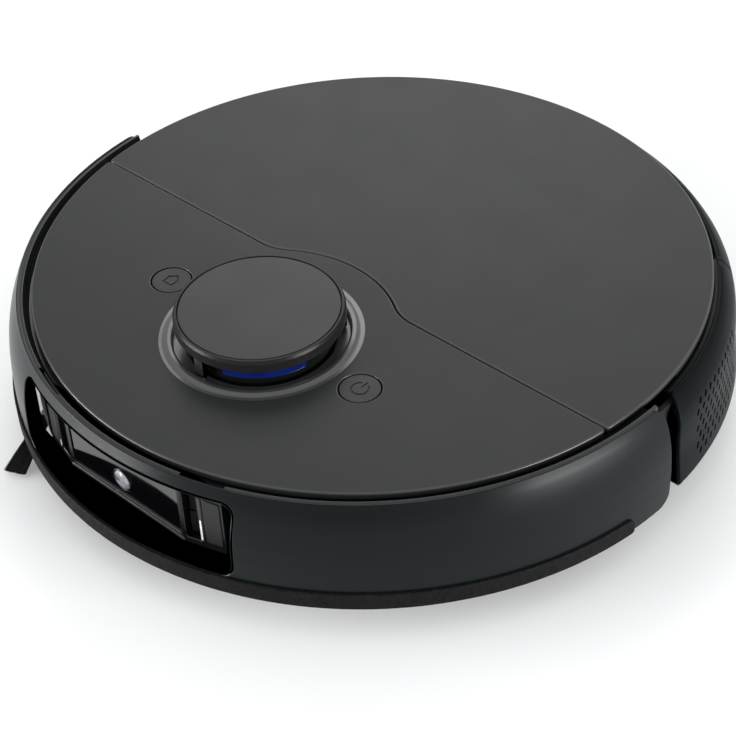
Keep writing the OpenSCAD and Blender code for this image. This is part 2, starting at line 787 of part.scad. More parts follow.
module tyre(side) {
    color([0.06, 0.06, 0.06]) difference() {
        wheel_arm_bar(side, wheel_x - tyre_w / 2, wheel_x + tyre_w / 2, 0, wheel_r, wheel_r);
        wheel_arm_bar(side, wheel_x - 30, wheel_x + 30, 0, wheel_r, 23);
        for (i = [0:23]) translate([side * wheel_x, 0, wheel_r]) rotate([i * 15, 0, 0])
            block([-tyre_w, -1, wheel_r - 1.2], [tyre_w, 1, wheel_r + 2]);
    }
}
module tyre_left() { tyre(-1); }
module tyre_right() { tyre(1); }

module caster_fork() {
    color([0.13, 0.13, 0.14]) difference() {
        union() {
            post(0, caster_y, 10.4, 30.5, 18.8);
            post(0, caster_y, 30.5, 40, 4);
        }
        block([-8, caster_y - 13, 0], [8, caster_y + 13, 25]);
        bar_x(-13, 13, caster_y, caster_r, 1.55);
    }
}
module caster_wheel() {
    color([0.3, 0.3, 0.32]) {
        difference() {
            rotate([0, 90, 0]) translate([-caster_r, caster_y, 0]) rotate_extrude()
                polygon([[0, -7], [9.4, -7], [10.8, -5], [caster_r, 0], [10.8, 5], [9.4, 7], [0, 7]]);
            for (i = [0:5]) translate([0, caster_y, caster_r]) rotate([i * 60, 0, 0])
                bar_x(-9, 9, 0, 5.8, 1.6);
        }
        bar_x(-12.8, 12.8, caster_y, caster_r, 1.5);
    }
}

// Removable dust bin with its inlet, its lid and its filter.
module dust_bin() {
    color([0.35, 0.36, 0.38, 0.6]) difference() {
        block([bin_x0, bin_y0, bin_z0], [bin_x1, bin_y1, bin_z1 - 2.4]);
        block([bin_x0 + wall, bin_y0 + wall, bin_z0 + wall], [bin_x1 - wall, bin_y1 - wall, 80]);
        block([mouth_x0, bin_y0 - 2, mouth_z0], [mouth_x1, bin_y0 + 4, mouth_z1]);
        block([bin_x1 - 4, 28, 44], [bin_x1 + 2, 52, 56]);
    }
}
module bin_lid() {
    color([0.25, 0.26, 0.28]) {
        block([bin_x0, bin_y0, bin_z1 - 2.4], [bin_x1, bin_y1, bin_z1]);
        difference() {
            block([-52, 30, bin_z1], [0, 50, bin_z1 + 2.6]);
            block([-49, 34, bin_z1 - 1], [-3, 46, bin_z1 + 6]);
        }
    }
}
module bin_filter() {
    color([0.9, 0.9, 0.86]) for (i = [0:7])
        block([bin_x1 - 8, 26 + i * 3.6, 40], [bin_x1 - wall, 28 + i * 3.6, 58.4]);
}

// Bumper: spring-loaded front shell with its strip, its inner trim and the sensor surround.
module bumper_shell() {
    color([0.1, 0.13, 0.14]) difference() {
        intersection() {
            rotate_extrude($fn = 180)
                polygon([[173.5, strip_z], [173.5, strip_z + strip_h], [173.7, 29], [173.5, 38],
                         [173, 48], [172.1, 55], [171, 60], [169.8, 65], [169, 67.8],
                         [168.2, 69.8], [167.3, 70.8], [166.6, 71], [165.4, 71], [165.4, 69.7],
                         [166.4, 69.4], [167.4, 67], [168.2, 64.5], [169.6, 58], [170.6, 51],
                         [171.3, 42], [171.5, 34], [171.3, strip_z]]);
            bumper_side_outline();
        }
        slab_y(recess_half, recess_low, recess_high, recess_corner, -big, -140);
    }
}
module bumper_trim() {
    color([0.22, 0.23, 0.24]) difference() {
        intersection() {
            rotate_extrude($fn = 180)
                polygon([[156.5, frame_top + 0.4], [167.9, frame_top + 0.4], [167.9, 65], [164.9, 65],
                         [164.9, 69.9], [163.3, 70.1], [162.9, 68.6], [162, 66.6], [160.9, 65.4],
                         [156.5, 65.2]]);
            bumper_side_outline();
        }
        block([-recess_half - 0.2, -big, 0], [recess_half + 0.2, -140, recess_high + 0.1]);
        // hook notches in the lip
        for (sx = [-1, 1]) slice(sx * 17.4 - 3.7, sx * 17.4 + 3.7, 67, 80);
    }
}
module bumper_strip() {
    color([0.17, 0.175, 0.17])
        ring_part([[173.5, strip_z], [body_r - 0.3, strip_z], [body_r, strip_z + 0.8],
                   [body_r, strip_z + strip_h - 0.8], [body_r - 0.4, strip_z + strip_h - 0.2],
                   [173.5, strip_z + strip_h - 0.2]], -82.5, 82.5);
}
module sensor_surround() {
    color([0.04, 0.05, 0.05]) intersection() {
        difference() {
            slab_y(recess_half - 0.05, recess_low + 0.05, recess_high - 0.05, recess_corner, -180, -152.8);
            slab_y(recess_half - liner_t, recess_low + liner_t, recess_high - liner_t,
                   recess_corner - liner_t, -190, -140);
        }
        rotate_extrude($fn = 180)
            polygon([[150, 20], [173.4, 20], [173.3, 40], [172.7, 48], [171.8, 55], [170.6, 60],
                     [169.3, 65], [169, 70], [150, 70]]);
    }
}

// Rear half of the top. It swings up about the hidden axis along its front edge.
module rear_lid() {
    color([0.25, 0.255, 0.26]) {
        difference() {
            top_disc();
            front_zone(0, 100, seam_gap / 2);
            front_zone(top_z - 0.8, 100, seam_gap / 2 + 0.6);
            // thin along the seam, so that the edge can turn past the front cover
            front_zone(0, top_z - 2, seam_gap / 2 + 3);
        }
    }
}
// Two curved arms that slide through the frame on arcs about the hidden axis.
module lid_hinge_arms() {
    color([0.3, 0.3, 0.32]) for (sx = [-1, 1]) {
        intersection() {
            difference() {
                bar_x(sx * lid_arm_x - lid_arm_w / 2, sx * lid_arm_x + lid_arm_w / 2, hinge_y, hinge_z, 15);
                bar_x(sx * lid_arm_x - 5, sx * lid_arm_x + 5, hinge_y, hinge_z, 12);
            }
            block([sx * lid_arm_x - 5, hinge_y, 0], [sx * lid_arm_x + 5, hinge_y + 20, top_z - 2.3]);
        }
    }
}

// Round buttons beside the turret, with engraved signs.
module button(sx) {
    post(sx * button_x, button_y, top_z - 2, top_z - 0.2, button_r);
    post(sx * button_x, button_y, top_z - 5.6, top_z - 1, 3.1);
}
module power_button() {
    color([0.27, 0.275, 0.28]) difference() {
        button(1);
        translate([button_x, button_y, top_z - 0.5]) difference() {
            cylinder(h = 2, r = 4);
            translate([0, 0, -1]) cylinder(h = 4, r = 3.3);
            block([-1.3, 1, -1], [1.3, 6, 3]);
        }
        block([button_x - 0.35, button_y + 1.2, top_z - 0.5], [button_x + 0.35, button_y + 4.8, top_z + 1]);
    }
}
module home_button() {
    color([0.27, 0.275, 0.28]) difference() {
        button(-1);
        translate([-button_x, button_y, top_z - 0.5]) difference() {
            block([-3.2, -3, 0], [3.2, 2, 2]);
            block([-2.5, -2.3, -1], [2.5, 1.3, 3]);
        }
        post(-button_x, button_y + 4, top_z - 0.5, top_z + 1, 0.9);
    }
}

// Water tank with its own rear wall, the mop plate and the mop pad.
module water_tank() {
    color([0.2, 0.22, 0.24, 0.7]) difference() {
        intersection() {
            block([-112, tank_y + 1, base_z], [112, 180, 60]);
            rotate_extrude($fn = 180)
                polygon([[0, 0], [168.8, 0], [168.8, 47], [159.4, 52], [157, 62], [0, 62]]);
        }
        intersection() {
            block([-110, tank_y + 3, base_z + 2], [110, 150, 58]);
            cylinder(h = 100, r = 154);
        }
        // filler hole and the room behind the release button
        post(60, 104, 50, 70, 7);
        slab_button(0.4, 166.4, 180);
    }
}
module tank_cover() {
    color([0.16, 0.19, 0.2]) difference() {
        ring_part(concat(side_line, [[ledge_r + 0.9, side_ledge], [ledge_r + 0.9, 64.4], [163, 63.8]],
                         side_inner), tank_cover_start, 360 - tank_cover_start);
        slab_button(0.4, 160, 180);
        // finger grip above the release button
        block([-grip_half, 0, grip_z], [grip_half, big, 100]);
    }
}
module slab_button(grow, y0, y1) {
    slab_y(20 + grow, 36 - grow, 48 + grow, 3 + grow, y0, y1);
}
module tank_button() {
    color([0.12, 0.13, 0.14]) intersection() {
        slab_button(0, 165, 180);
        difference() {
            post(0, 0, 30, 60, 171);
            post(0, 0, 20, 70, 169.3);
        }
    }
}
module mop_plate() {
    color([0.2, 0.21, 0.22]) intersection() {
        block([-112, 86, 5], [112, 180, 11.9]);
        post(0, 0, 0, 20, body_r);
    }
}
module mop_pad() {
    color([0.55, 0.6, 0.66]) intersection() {
        block([-106, 91, 1], [106, 180, 5]);
        post(0, 0, 0, 20, 170);
    }
}

base_tray();
mid_frame();
top_cover();
side_panel_left();
side_panel_right();
sensor_housing();
sensor_windows();
camera_lens();
lidar_base();
lidar_motor();
lidar_belt();
main_board();
battery_pack();
battery_cover();
blower_housing();
blower_motor();
brush_motor();
brush_gearbox();
brush_guard();
side_brush_motor();
charging_contacts();
cliff_windows();
base_screws();
suspension_pins();
suspension_springs();
dust_bin();
bin_lid();
bin_filter();
turret_springs();
bumper_shell();
bumper_trim();
bumper_strip();
sensor_surround();
rear_lid();
lid_hinge_arms();
power_button();
home_button();
turret_cover();
turret_disc();
lidar_rotor();
lidar_window();
lidar_pulley();
brush_core();
brush_blades();
side_brush_hub();
side_brush_bristles();
wheel_arm_left();
wheel_hub_left();
tyre_left();
wheel_arm_right();
wheel_hub_right();
tyre_right();
caster_fork();
caster_wheel();
blower_impeller();
water_tank();
tank_cover();
mop_plate();
mop_pad();
tank_button();
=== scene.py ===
import json
import math

import bpy
import numpy as np
from mathutils import Matrix, Vector
from mathutils.geometry import delaunay_2d_cdt


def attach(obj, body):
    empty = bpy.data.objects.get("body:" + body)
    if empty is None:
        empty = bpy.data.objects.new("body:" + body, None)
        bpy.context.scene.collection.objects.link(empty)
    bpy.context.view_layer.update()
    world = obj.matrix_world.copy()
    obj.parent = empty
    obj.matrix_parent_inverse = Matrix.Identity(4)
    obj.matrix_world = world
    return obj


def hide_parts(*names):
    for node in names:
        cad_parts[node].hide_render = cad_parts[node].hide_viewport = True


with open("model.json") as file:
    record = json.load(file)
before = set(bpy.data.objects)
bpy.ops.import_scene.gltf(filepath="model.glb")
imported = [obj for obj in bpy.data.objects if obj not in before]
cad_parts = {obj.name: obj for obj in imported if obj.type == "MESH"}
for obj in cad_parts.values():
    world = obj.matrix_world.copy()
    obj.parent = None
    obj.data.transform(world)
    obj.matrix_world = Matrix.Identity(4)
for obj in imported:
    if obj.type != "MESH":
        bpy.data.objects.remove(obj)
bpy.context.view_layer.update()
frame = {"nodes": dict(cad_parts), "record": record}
NODES = frame["nodes"]
MM = 0.001
scene = bpy.context.scene

# Main sizes of the robot, in millimetres, as in the CAD
TOP_Z = 70.5  # the flat top
DISC_R = 159.3  # the top's round edge
TURRET_Y = -72.5  # the turret's axis
SEAM_Y = -25.0  # the seam between the two halves of the top
BUMP_R = 61.7  # the seam's arc round the turret
BLEND_R = 24.0  # the bends that lead into that arc
GAP = 0.35  # half the seam's width
BUTTON_X = 60.0
BUTTON_Y = -72.2
BUTTON_R = 9.3
STRIP_R = 175.0  # the bumper's rubber strip, the widest part of the robot
STRIP_LOW = 18.0  # lower edges of the bumper and its strip
STRIP_HIGH = 26.8
# Angles from the nose: the bumper's ends, and where the side panels meet the tank's shell
BUMPER_END = 90 + math.degrees(math.asin(1.8 / 173.5))
TANK_END = 130.9
LEDGE_Z = 66.2  # the dark ledge under the rim of the top
PANEL_Y = 10.6  # the front edge of the side panels
MODULE_Y = -160.0  # front face of the sensor module
LENS_X, LENS_Z = -1.7, 41.8
# The module's wings: where they start, their width, and how far they lean back
WING_X, WING_RUN, WING_BACK = 37.2, 20.2, 5.9
PILE_ROW = 14.0  # the mop pad's rows of pile


# ---- mesh tools ----
def unit(v):
    length = np.linalg.norm(v, axis=-1, keepdims=True)
    return v / np.where(length < 1e-9, 1, length)


def lengths(line):
    """How far along a line each of its points lies."""
    return np.concatenate([[0], np.cumsum(np.linalg.norm(np.diff(line, axis=0), axis=1))])


def arc(x, y, r, a0, a1, steps):
    a = np.radians(np.linspace(a0, a1, steps + 1))
    return np.stack([x + r * np.cos(a), y + r * np.sin(a)], 1)


def rounded(points, radii, steps=6, closed=False):
    """A polyline with round corners: its points and its exact tangents."""
    pts = np.array(points, float)
    n = len(pts)
    radii = [radii] * n if np.isscalar(radii) else list(radii)
    out, tan = [], []
    for i in range(n):
        if not closed and i in (0, n - 1):
            d = unit(pts[1] - pts[0]) if i == 0 else unit(pts[-1] - pts[-2])
            out.append(pts[i])
            tan.append(d)
            continue
        a, b, c = pts[i - 1], pts[i], pts[(i + 1) % n]
        d0, d1 = unit(b - a), unit(c - b)
        cross = d0[0] * d1[1] - d0[1] * d1[0]
        turn = math.atan2(cross, float(d0 @ d1))
        if abs(turn) < 1e-3:
            out.append(b)
            tan.append(unit(d0 + d1))
            continue
        reach = radii[i] * math.tan(abs(turn) / 2)
        limit = 0.49 * min(np.linalg.norm(b - a), np.linalg.norm(c - b))
        reach = min(reach, limit)
        r = reach / math.tan(abs(turn) / 2)
        side = np.array([-d0[1], d0[0]]) * math.copysign(1, turn)
        centre = b - d0 * reach + side * r
        for k in range(steps + 1):
            t = turn * k / steps
            cs, sn = math.cos(t), math.sin(t)
            rot = np.array([[cs, -sn], [sn, cs]])
            out.append(centre + rot @ (-side * r))
            tan.append(rot @ d0)
    return np.array(out), np.array(tan)


class Shape:
    """Points, normals and faces gathered for one piece, in millimetres."""

    def __init__(self):
        self.points, self.normals, self.faces, self.slots = [], [], [], []
        self.count = 0

    def add(self, points, normals, faces, slot=0):
        self.points.append(np.asarray(points, float))
        self.normals.append(np.asarray(normals, float))
        self.faces += [tuple(int(i) + self.count for i in f) for f in faces]
        self.slots += [slot] * len(faces)
        self.count += len(points)

    def rings(self, rings, normals, closed=True, slot=0, flip=False):
        """A skin over rings of points, each ring as long as the others."""
        k, n = len(rings), len(rings[0])
        faces = []
        for j in range(k - 1):
            for i in range(n if closed else n - 1):
                i2 = (i + 1) % n
                f = (j * n + i, j * n + i2, (j + 1) * n + i2, (j + 1) * n + i)
                faces.append(f[::-1] if flip else f)
        self.add(np.concatenate(rings), np.concatenate(normals), faces, slot)

    def cap(self, ring, normal, forwards, slot=0):
        """One flat face on a ring, in the ring's own order or backwards."""
        order = list(range(len(ring)))
        self.add(ring, np.tile(normal, (len(ring), 1)), [order if forwards else order[::-1]], slot)

    def make(self, name, materials, body, nodes):
        """The finished piece, riding on its body in place of its CAD node."""
        mesh = bpy.data.meshes.new(name)
        pts = np.concatenate(self.points) * MM
        mesh.from_pydata(pts.tolist(), [], self.faces)
        mesh.polygons.foreach_set("use_smooth", [True] * len(self.faces))
        for m in materials:
            mesh.materials.append(m)
        mesh.polygons.foreach_set("material_index", self.slots)
        mesh.update()
        mesh.normals_split_custom_set_from_vertices(unit(np.concatenate(self.normals)).tolist())
        obj = bpy.data.objects.new(name, mesh)
        scene.collection.objects.link(obj)
        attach(obj, body)
        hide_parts(*nodes)
        return obj


def inset(loop, d):
    """The loop moved towards its left by d, which may differ from point to point."""
    e1 = unit(loop - np.roll(loop, 1, 0))
    e2 = unit(np.roll(loop, -1, 0) - loop)
    n1 = np.stack([-e1[:, 1], e1[:, 0]], 1)
    m = unit(n1 + np.stack([-e2[:, 1], e2[:, 0]], 1))
    stretch = np.clip((m * n1).sum(1), 0.3, 1)
    return loop + m * (d / stretch)[:, None], -m


def inside(points, loops):
    """Which points lie within the loops, counting holes as outside."""
    hit = np.zeros(len(points), bool)
    for loop in loops:
        a, b = loop, np.roll(loop, -1, 0)
        for p, q in zip(a, b):
            crosses = (p[1] > points[:, 1]) != (q[1] > points[:, 1])
            if crosses.any():
                x = (q[0] - p[0]) * (points[:, 1] - p[1]) / (q[1] - p[1] + 1e-12) + p[0]
                hit ^= crosses & (points[:, 0] < x)
    return hit


def triangulate(loops, cells):
    """Points and triangles that fill the loops, with the cells as points inside."""
    uv = np.concatenate(loops + ([cells] if len(cells) else []))
    links, start = [], 0
    for loop in loops:
        n = len(loop)
        links += [(start + i, start + (i + 1) % n) for i in range(n)]
        start += n
    done = delaunay_2d_cdt([Vector(p) for p in uv], links, [], 0, 1e-6)
    uv = np.array([tuple(p) for p in done[0]])
    tris = np.array([f for f in done[2] if len(f) == 3])
    return uv, tris[inside(uv[tris].mean(1), loops)]


def flat(z):
    """A level surface at height z. Each surface gives points, normals and its two directions."""
    def surface(uv):
        one = np.ones(len(uv))
        zero = 0 * one
        p = np.stack([uv[:, 0], uv[:, 1], z * one], 1)
        u, v = np.stack([one, zero, zero], 1), np.stack([zero, one, zero], 1)
        return p, np.stack([zero, zero, one], 1), u, v
    return surface


def along(degrees):
    """An angle from the nose as a length on a turned surface."""
    return math.radians(degrees) * STRIP_R


def lathe_surface(profile, tangents):
    """A turned surface: u is along() of the angle from the nose, v the way along the profile."""
    s = lengths(profile)

    def surface(uv):
        a, v = uv[:, 0] / STRIP_R, uv[:, 1]
        r, z = np.interp(v, s, profile[:, 0]), np.interp(v, s, profile[:, 1])
        t = unit(np.stack([np.interp(v, s, tangents[:, 0]), np.interp(v, s, tangents[:, 1])], 1))
        sn, cs = np.sin(a), np.cos(a)
        p = np.stack([r * sn, -r * cs, z], 1)
        n = np.stack([t[:, 1] * sn, -t[:, 1] * cs, -t[:, 0]], 1)
        up = np.stack([t[:, 0] * sn, -t[:, 0] * cs, t[:, 1]], 1)
        return p, n, np.stack([cs, sn, 0 * a], 1), up
    surface.length = s[-1]
    surface.z_at = lambda v: np.interp(v, s, profile[:, 1])
    surface.r_of = lambda v: np.interp(v, s, profile[:, 0])
    surface.v_at = lambda z: np.interp(z, profile[:, 1], s)
    surface.r_at = lambda z: np.interp(z, profile[:, 1], profile[:, 0])
    return surface


def patch(shape, loops, surface, edge, depth, grid=None, steps=4, slot=0, back=True,
          edge_slot=None):
    """A shell on a surface, inside loops with the solid on their left. It has round edges of
    radius edge, one for all loops or a list, and is depth thick."""
    loops = [np.asarray(l, float) for l in loops]
    edge = edge if isinstance(edge, list) else [edge] * len(loops)
    edges = [np.broadcast_to(np.asarray(e, float), (len(l),)) for e, l in zip(edge, loops)]
    tops = []
    for loop, e in zip(loops, edges):
        rings, norms = [], []
        for k in range(steps + 1):
            t = math.pi / 2 * k / steps
            uv, out = inset(loop, e * (1 - math.sin(t)))
            p, n, u, v = surface(uv)
            side = unit(u * out[:, :1] + v * out[:, 1:])
            rings.append(p - n * (e * (1 - math.cos(t)))[:, None])
            norms.append(n * math.cos(t) + side * math.sin(t))
            if k == 0:
                tops.append(uv)
        shape.rings(rings, norms, slot=slot if edge_slot is None else edge_slot, flip=True)
        p, n, u, v = surface(loop)
        lip, foot = p - n * e[:, None], p - n * depth
        shape.rings([lip, foot], [norms[-1], norms[-1]], slot=slot, flip=True)
    cells = []
    if grid:
        low, high = tops[0].min(0), tops[0].max(0)
        gu = np.arange(low[0] + grid[0] / 2, high[0], grid[0])
        gv = np.arange(low[1] + grid[1] / 2, high[1], grid[1])
        cells = np.stack(np.meshgrid(gu, gv), -1).reshape(-1, 2)
        near = np.full(len(cells), 1e9)
        for t in tops:
            for i in range(0, len(cells), 4000):
                apart = np.sqrt(((cells[i:i + 4000, None] - t[None]) ** 2).sum(-1)).min(1)
                near[i:i + 4000] = np.minimum(near[i:i + 4000], apart)
        cells = cells[inside(cells, tops) & (near > 0.35 * min(grid))]
    flat_uv, tris = triangulate(tops, cells)
    p, n, _, _ = surface(flat_uv)
    shape.add(p, n, tris, slot)
    if back:
        shape.add(p - n * depth, -n, tris[:, ::-1], slot)


def revolve(shape, points, radii, a0=0.0, a1=360.0, centre=(0.0, 0.0), closed=True, steps=4, slot=0,
            step_deg=2.0):
    """A profile of radius and height, with the solid on its left, swept round an upright axis."""
    prof, tan = rounded(points, radii, steps, closed)
    whole = abs(a1 - a0) >= 359.9
    n = max(2, int(math.ceil(abs(a1 - a0) / step_deg)))
    angles = np.radians(np.linspace(a0, a1, n + 1))
    if whole:
        angles = angles[:-1]
    rings, norms = [], []
    for a in angles:
        sn, cs = math.sin(a), math.cos(a)
        x, y = centre[0] + prof[:, 0] * sn, centre[1] - prof[:, 0] * cs
        rings.append(np.stack([x, y, prof[:, 1]], 1))
        norms.append(np.stack([tan[:, 1] * sn, -tan[:, 1] * cs, -tan[:, 0]], 1))
    if whole:
        rings.append(rings[0])
        norms.append(norms[0])
    shape.rings(rings, norms, closed=closed, slot=slot, flip=True)
    if not whole and closed:
        for a, ring, sign in ((angles[0], rings[0], -1), (angles[-1], rings[-1], 1)):
            shape.cap(ring, np.array([math.cos(a), math.sin(a), 0]) * sign, sign > 0, slot)


def circle(x, y, r, n=64, hole=False):
    loop = arc(x, y, r, 0, 360, n)[:-1]
    return loop[::-1] if hole else loop


def rect(u0, u1, v0, v1, r=0.5, hole=False, steps=3):
    """A rectangle with corners of radius r, or of four radii that start at the low u and v."""
    loop = rounded([(u0, v0), (u1, v0), (u1, v1), (u0, v1)], r, steps, True)[0]
    return loop[::-1] if hole else loop


def fill_line(loop, step):
    """Adds points along the long straight runs of a loop."""
    out = []
    for p, q in zip(loop, np.roll(loop, -1, 0)):
        n = max(1, int(np.linalg.norm(q - p) / step))
        out += [p + (q - p) * i / n for i in range(n)]
    return np.array(out)


def turn_loop(loop, x, y, degrees):
    """A loop drawn round the origin, turned clockwise and moved to its place."""
    a = math.radians(degrees)
    m = np.array([[math.cos(a), math.sin(a)], [-math.sin(a), math.cos(a)]])
    return loop @ m + [x, y]


# ---- materials ----
def set_ramp(ramp, places, colours):
    for stop, at, colour in zip(ramp.color_ramp.elements, places, colours):
        stop.position, stop.color = at, (*colour, 1)


class Finish:
    """A node material. Sizes are in millimetres. What never varies sits on the shader itself."""

    def __init__(self, name, colour, rough, metallic=0.0, ior=1.5, specular=0.5, **sockets):
        self.material = bpy.data.materials.new(name)
        self.material.use_nodes = True
        self.tree = self.material.node_tree
        self.shader = self.tree.nodes["Principled BSDF"]
        self.colour, self.rough = colour, rough
        self.set("Base Color", (*colour, 1))
        self.set("Roughness", rough)
        self.set("Metallic", metallic)
        self.set("IOR", ior)
        self.set("Specular IOR Level", specular)
        for key, value in sockets.items():
            self.set(key.replace("_", " "), value)
        self.place = self.node("ShaderNodeTexCoord").outputs["Object"]
        self.height = None

    def set(self, socket, value):
        self.shader.inputs[socket].default_value = value

    def node(self, kind, **values):
        n = self.tree.nodes.new(kind)
        for key, value in values.items():
            if hasattr(n, key):
                setattr(n, key, value)
            else:
                n.inputs[key.replace("_", " ")].default_value = value
        return n

    def link(self, a, b):
        self.tree.links.new(a, b)

    def noise(self, size, detail=2.0, stretch=None):
        n = self.node("ShaderNodeTexNoise", Scale=1000.0 / size, Detail=detail)
        source = self.place
        if stretch:
            scale = self.node("ShaderNodeMapping", Scale=stretch)
            self.link(self.place, scale.inputs["Vector"])
            source = scale.outputs["Vector"]
        self.link(source, n.inputs["Vector"])
        return n.outputs["Fac"]

    def cells(self, size):
        n = self.node("ShaderNodeTexVoronoi", Scale=1000.0 / size)
        self.link(self.place, n.inputs["Vector"])
        return n.outputs["Distance"]

    def span(self, value, low, high):
        n = self.node("ShaderNodeMapRange", From_Min=0.3, From_Max=0.7, To_Min=low, To_Max=high)
        self.link(value, n.inputs["Value"])
        return n.outputs["Result"]

    def tint(self, value, dark, light, start=0.3, end=0.7):
        ramp = self.node("ShaderNodeValToRGB")
        set_ramp(ramp, (start, end), (dark, light))
        self.link(value, ramp.inputs["Fac"])
        self.link(ramp.outputs["Color"], self.shader.inputs["Base Color"])

    def shade(self, value, spread, start=0.3, end=0.7):
        low = tuple(c * (1 - spread) for c in self.colour)
        high = tuple(min(1, c * (1 + spread)) for c in self.colour)
        self.tint(value, low, high, start, end)

    def gloss(self, value, spread):
        low, high = max(0.02, self.rough - spread), min(1, self.rough + spread)
        self.link(self.span(value, low, high), self.shader.inputs["Roughness"])

    def bump(self, value, depth, strength=1.0):
        b = self.node("ShaderNodeBump", Strength=strength, Distance=depth * MM)
        self.link(value, b.inputs["Height"])
        if self.height is not None:
            self.link(self.height, b.inputs["Normal"])
        self.height = b.outputs["Normal"]
        self.link(self.height, self.shader.inputs["Normal"])


def moulded(name, colour, rough, grain=0.35, depth=0.01, spread=0.07, mottle=0.06, **more):
    """Injection-moulded plastic: a fine grain of the given size and depth in millimetres, slightly
    uneven gloss (spread) and a softly varied colour (mottle)."""
    f = Finish(name, colour, rough, **more)
    f.shade(f.noise(38, 3), mottle)
    f.gloss(f.noise(22, 4), spread)
    f.bump(f.noise(grain, 2), depth)
    return f.material


def metal(name, colour, rough, stretch):
    """Drawn or turned metal, its grain squeezed along one axis."""
    f = Finish(name, colour, rough, metallic=1.0)
    f.shade(f.noise(9, 3), 0.12)
    f.gloss(f.noise(0.8, 3, stretch), 0.08)
    f.bump(f.noise(0.5, 2, stretch), 0.004)
    return f.material


top_paint = moulded(
    "soft_top", (0.0165, 0.0175, 0.0172), 0.46, 0.28, 0.012, 0.012, 0.02, specular=0.19)
# Painted highlight: a lighter, glossier copy of the top's paint on the rounded rim and seam edges
top_edge_highlight = moulded("top_edge_highlight", (0.030, 0.031, 0.031), 0.3, 0.28, 0.006, 0.05, specular=0.55)
# Painted highlight: the collar's lip, lighter in colour than the top it belongs to
collar_lip_highlight = moulded("collar_lip_highlight", (0.034, 0.035, 0.035), 0.34, 0.28, 0.008, 0.04, specular=0.9)
button_paint = moulded(
    "button_top", (0.0175, 0.0185, 0.0185), 0.42, 0.28, 0.01, 0.03, 0.03, specular=0.2)
cap_satin = moulded(
    "turret_satin", (0.0135, 0.014, 0.0134), 0.38, 0.22, 0.008, 0.015, 0.02, specular=0.22)
cap_side = moulded("turret_side", (0.011, 0.011, 0.0107), 0.3, 0.5, 0.02, 0.04, specular=0.12)
shell_satin = moulded(
    "shell_satin", (0.0026, 0.0044, 0.0052), 0.29, 0.25, 0.003, 0.02, 0.08, specular=0.16)
panel_satin = moulded(
    "panel_satin", (0.004, 0.0055, 0.0062), 0.38, 0.25, 0.004, 0.03, 0.08, specular=0.04)
ledge_dark = moulded("ledge_dark", (0.005, 0.0055, 0.0055), 0.4, 0.4, 0.01, specular=0.08)
trim_plastic = moulded("trim_plastic", (0.012, 0.013, 0.013), 0.33, 0.4, 0.01, specular=0.4)
recess_black = moulded(
    "recess_black", (0.004, 0.0045, 0.0045), 0.24, 0.3, 0.004, 0.05, specular=0.35)
sign_dark = moulded("sign_dark", (0.008, 0.0085, 0.0085), 0.5, specular=0.2)
dark_inside = moulded("inside_black", (0.004, 0.004, 0.004), 0.6, 0.6, 0.03, specular=0.15)

# Rubber strip: coarse, dull, with scuffed specks
f = Finish("strip_rubber", (0.006, 0.0065, 0.006), 0.62, specular=0.06)
f.tint(f.noise(1.6, 5), (0.004, 0.0045, 0.004), (0.009, 0.0095, 0.009), 0.35, 0.65)
f.gloss(f.noise(3, 4), 0.1)
f.bump(f.noise(0.6, 3), 0.05)
f.bump(f.cells(1.1), 0.03)
strip_rubber = f.material

# Looped microfibre: rows of pile, lighter on their crowns and darker in the hollows, painted shade
# that follows the bumps
f = Finish("microfibre", (0.20, 0.26, 0.36), 0.9, specular=0.15, Sheen_Weight=0.4,
           Sheen_Roughness=0.5)
f.tint(f.cells(1.3), (0.10, 0.14, 0.22), (0.30, 0.37, 0.48), 0.15, 0.7)
f.bump(f.cells(1.3), 0.5)
f.bump(f.noise(0.35, 3), 0.12)
microfibre = f.material
f = Finish("hem_tape", (0.045, 0.05, 0.06), 0.85, specular=0.2, Sheen_Weight=0.2)
f.shade(f.noise(0.8, 3, (1, 4, 1)), 0.35)
f.bump(f.noise(0.5, 2, (1, 5, 1)), 0.1)
hem_tape = f.material

# Black window and lens glass
f = Finish("window_glass", (0.0015, 0.0015, 0.002), 0.05, specular=0.6, Coat_Weight=0.3,
           Coat_Roughness=0.03)
f.gloss(f.noise(14, 5), 0.025)
f.bump(f.noise(60, 2), 0.02)
window_glass = f.material
f = Finish("lens_glass", (0.16, 0.165, 0.18), 0.16, specular=0.8, Coat_Weight=1.0,
           Coat_Roughness=0.04)
f.tint(f.noise(5, 3), (0.05, 0.05, 0.06), (0.24, 0.25, 0.27), 0.35, 0.62)
lens_glass = f.material
# Painted glow: the turret's window is tinted blue in place of the blue light that shows under its
# cap
f = Finish("painted_blue_glow", (0.004, 0.02, 0.22), 0.12, specular=0.5, Coat_Weight=0.5,
           Coat_Roughness=0.05)
f.tint(f.noise(20, 2), (0.002, 0.006, 0.06), (0.004, 0.014, 0.13))
painted_blue_glow = f.material
# Painted glint: a pale, glossy strip in the lower part of each laser slit
slit_glint = moulded("slit_painted_glint", (0.62, 0.63, 0.62), 0.18, grain=1.5, depth=0.01, specular=0.9)


def smoked(name, colour, through):
    """Clear plastic with a grey tint."""
    f = Finish(name, colour, 0.14, specular=0.5, Transmission_Weight=through)
    f.shade(f.noise(30, 3), 0.1)
    f.gloss(f.noise(12, 4), 0.05)
    f.bump(f.noise(40, 2), 0.03)
    return f.material


def pleated(name, colour, rough, half_pitch):
    """Folded paper: a wave along X, whose folds lie about twice half_pitch apart. The same wave
    paints shade on the colour: darker in the valleys, lighter on the crests.
    """
    f = Finish(name, colour, rough, specular=0.3)
    turn = 6.283  # radians
    wave = f.node("ShaderNodeTexWave", Scale=1000 / half_pitch / turn, Distortion=0.4)
    wave.bands_direction = "X"
    f.link(f.place, wave.inputs["Vector"])
    f.shade(wave.outputs["Fac"], 0.3, 0.1, 0.9)
    f.bump(wave.outputs["Fac"], 0.4)
    return f.material


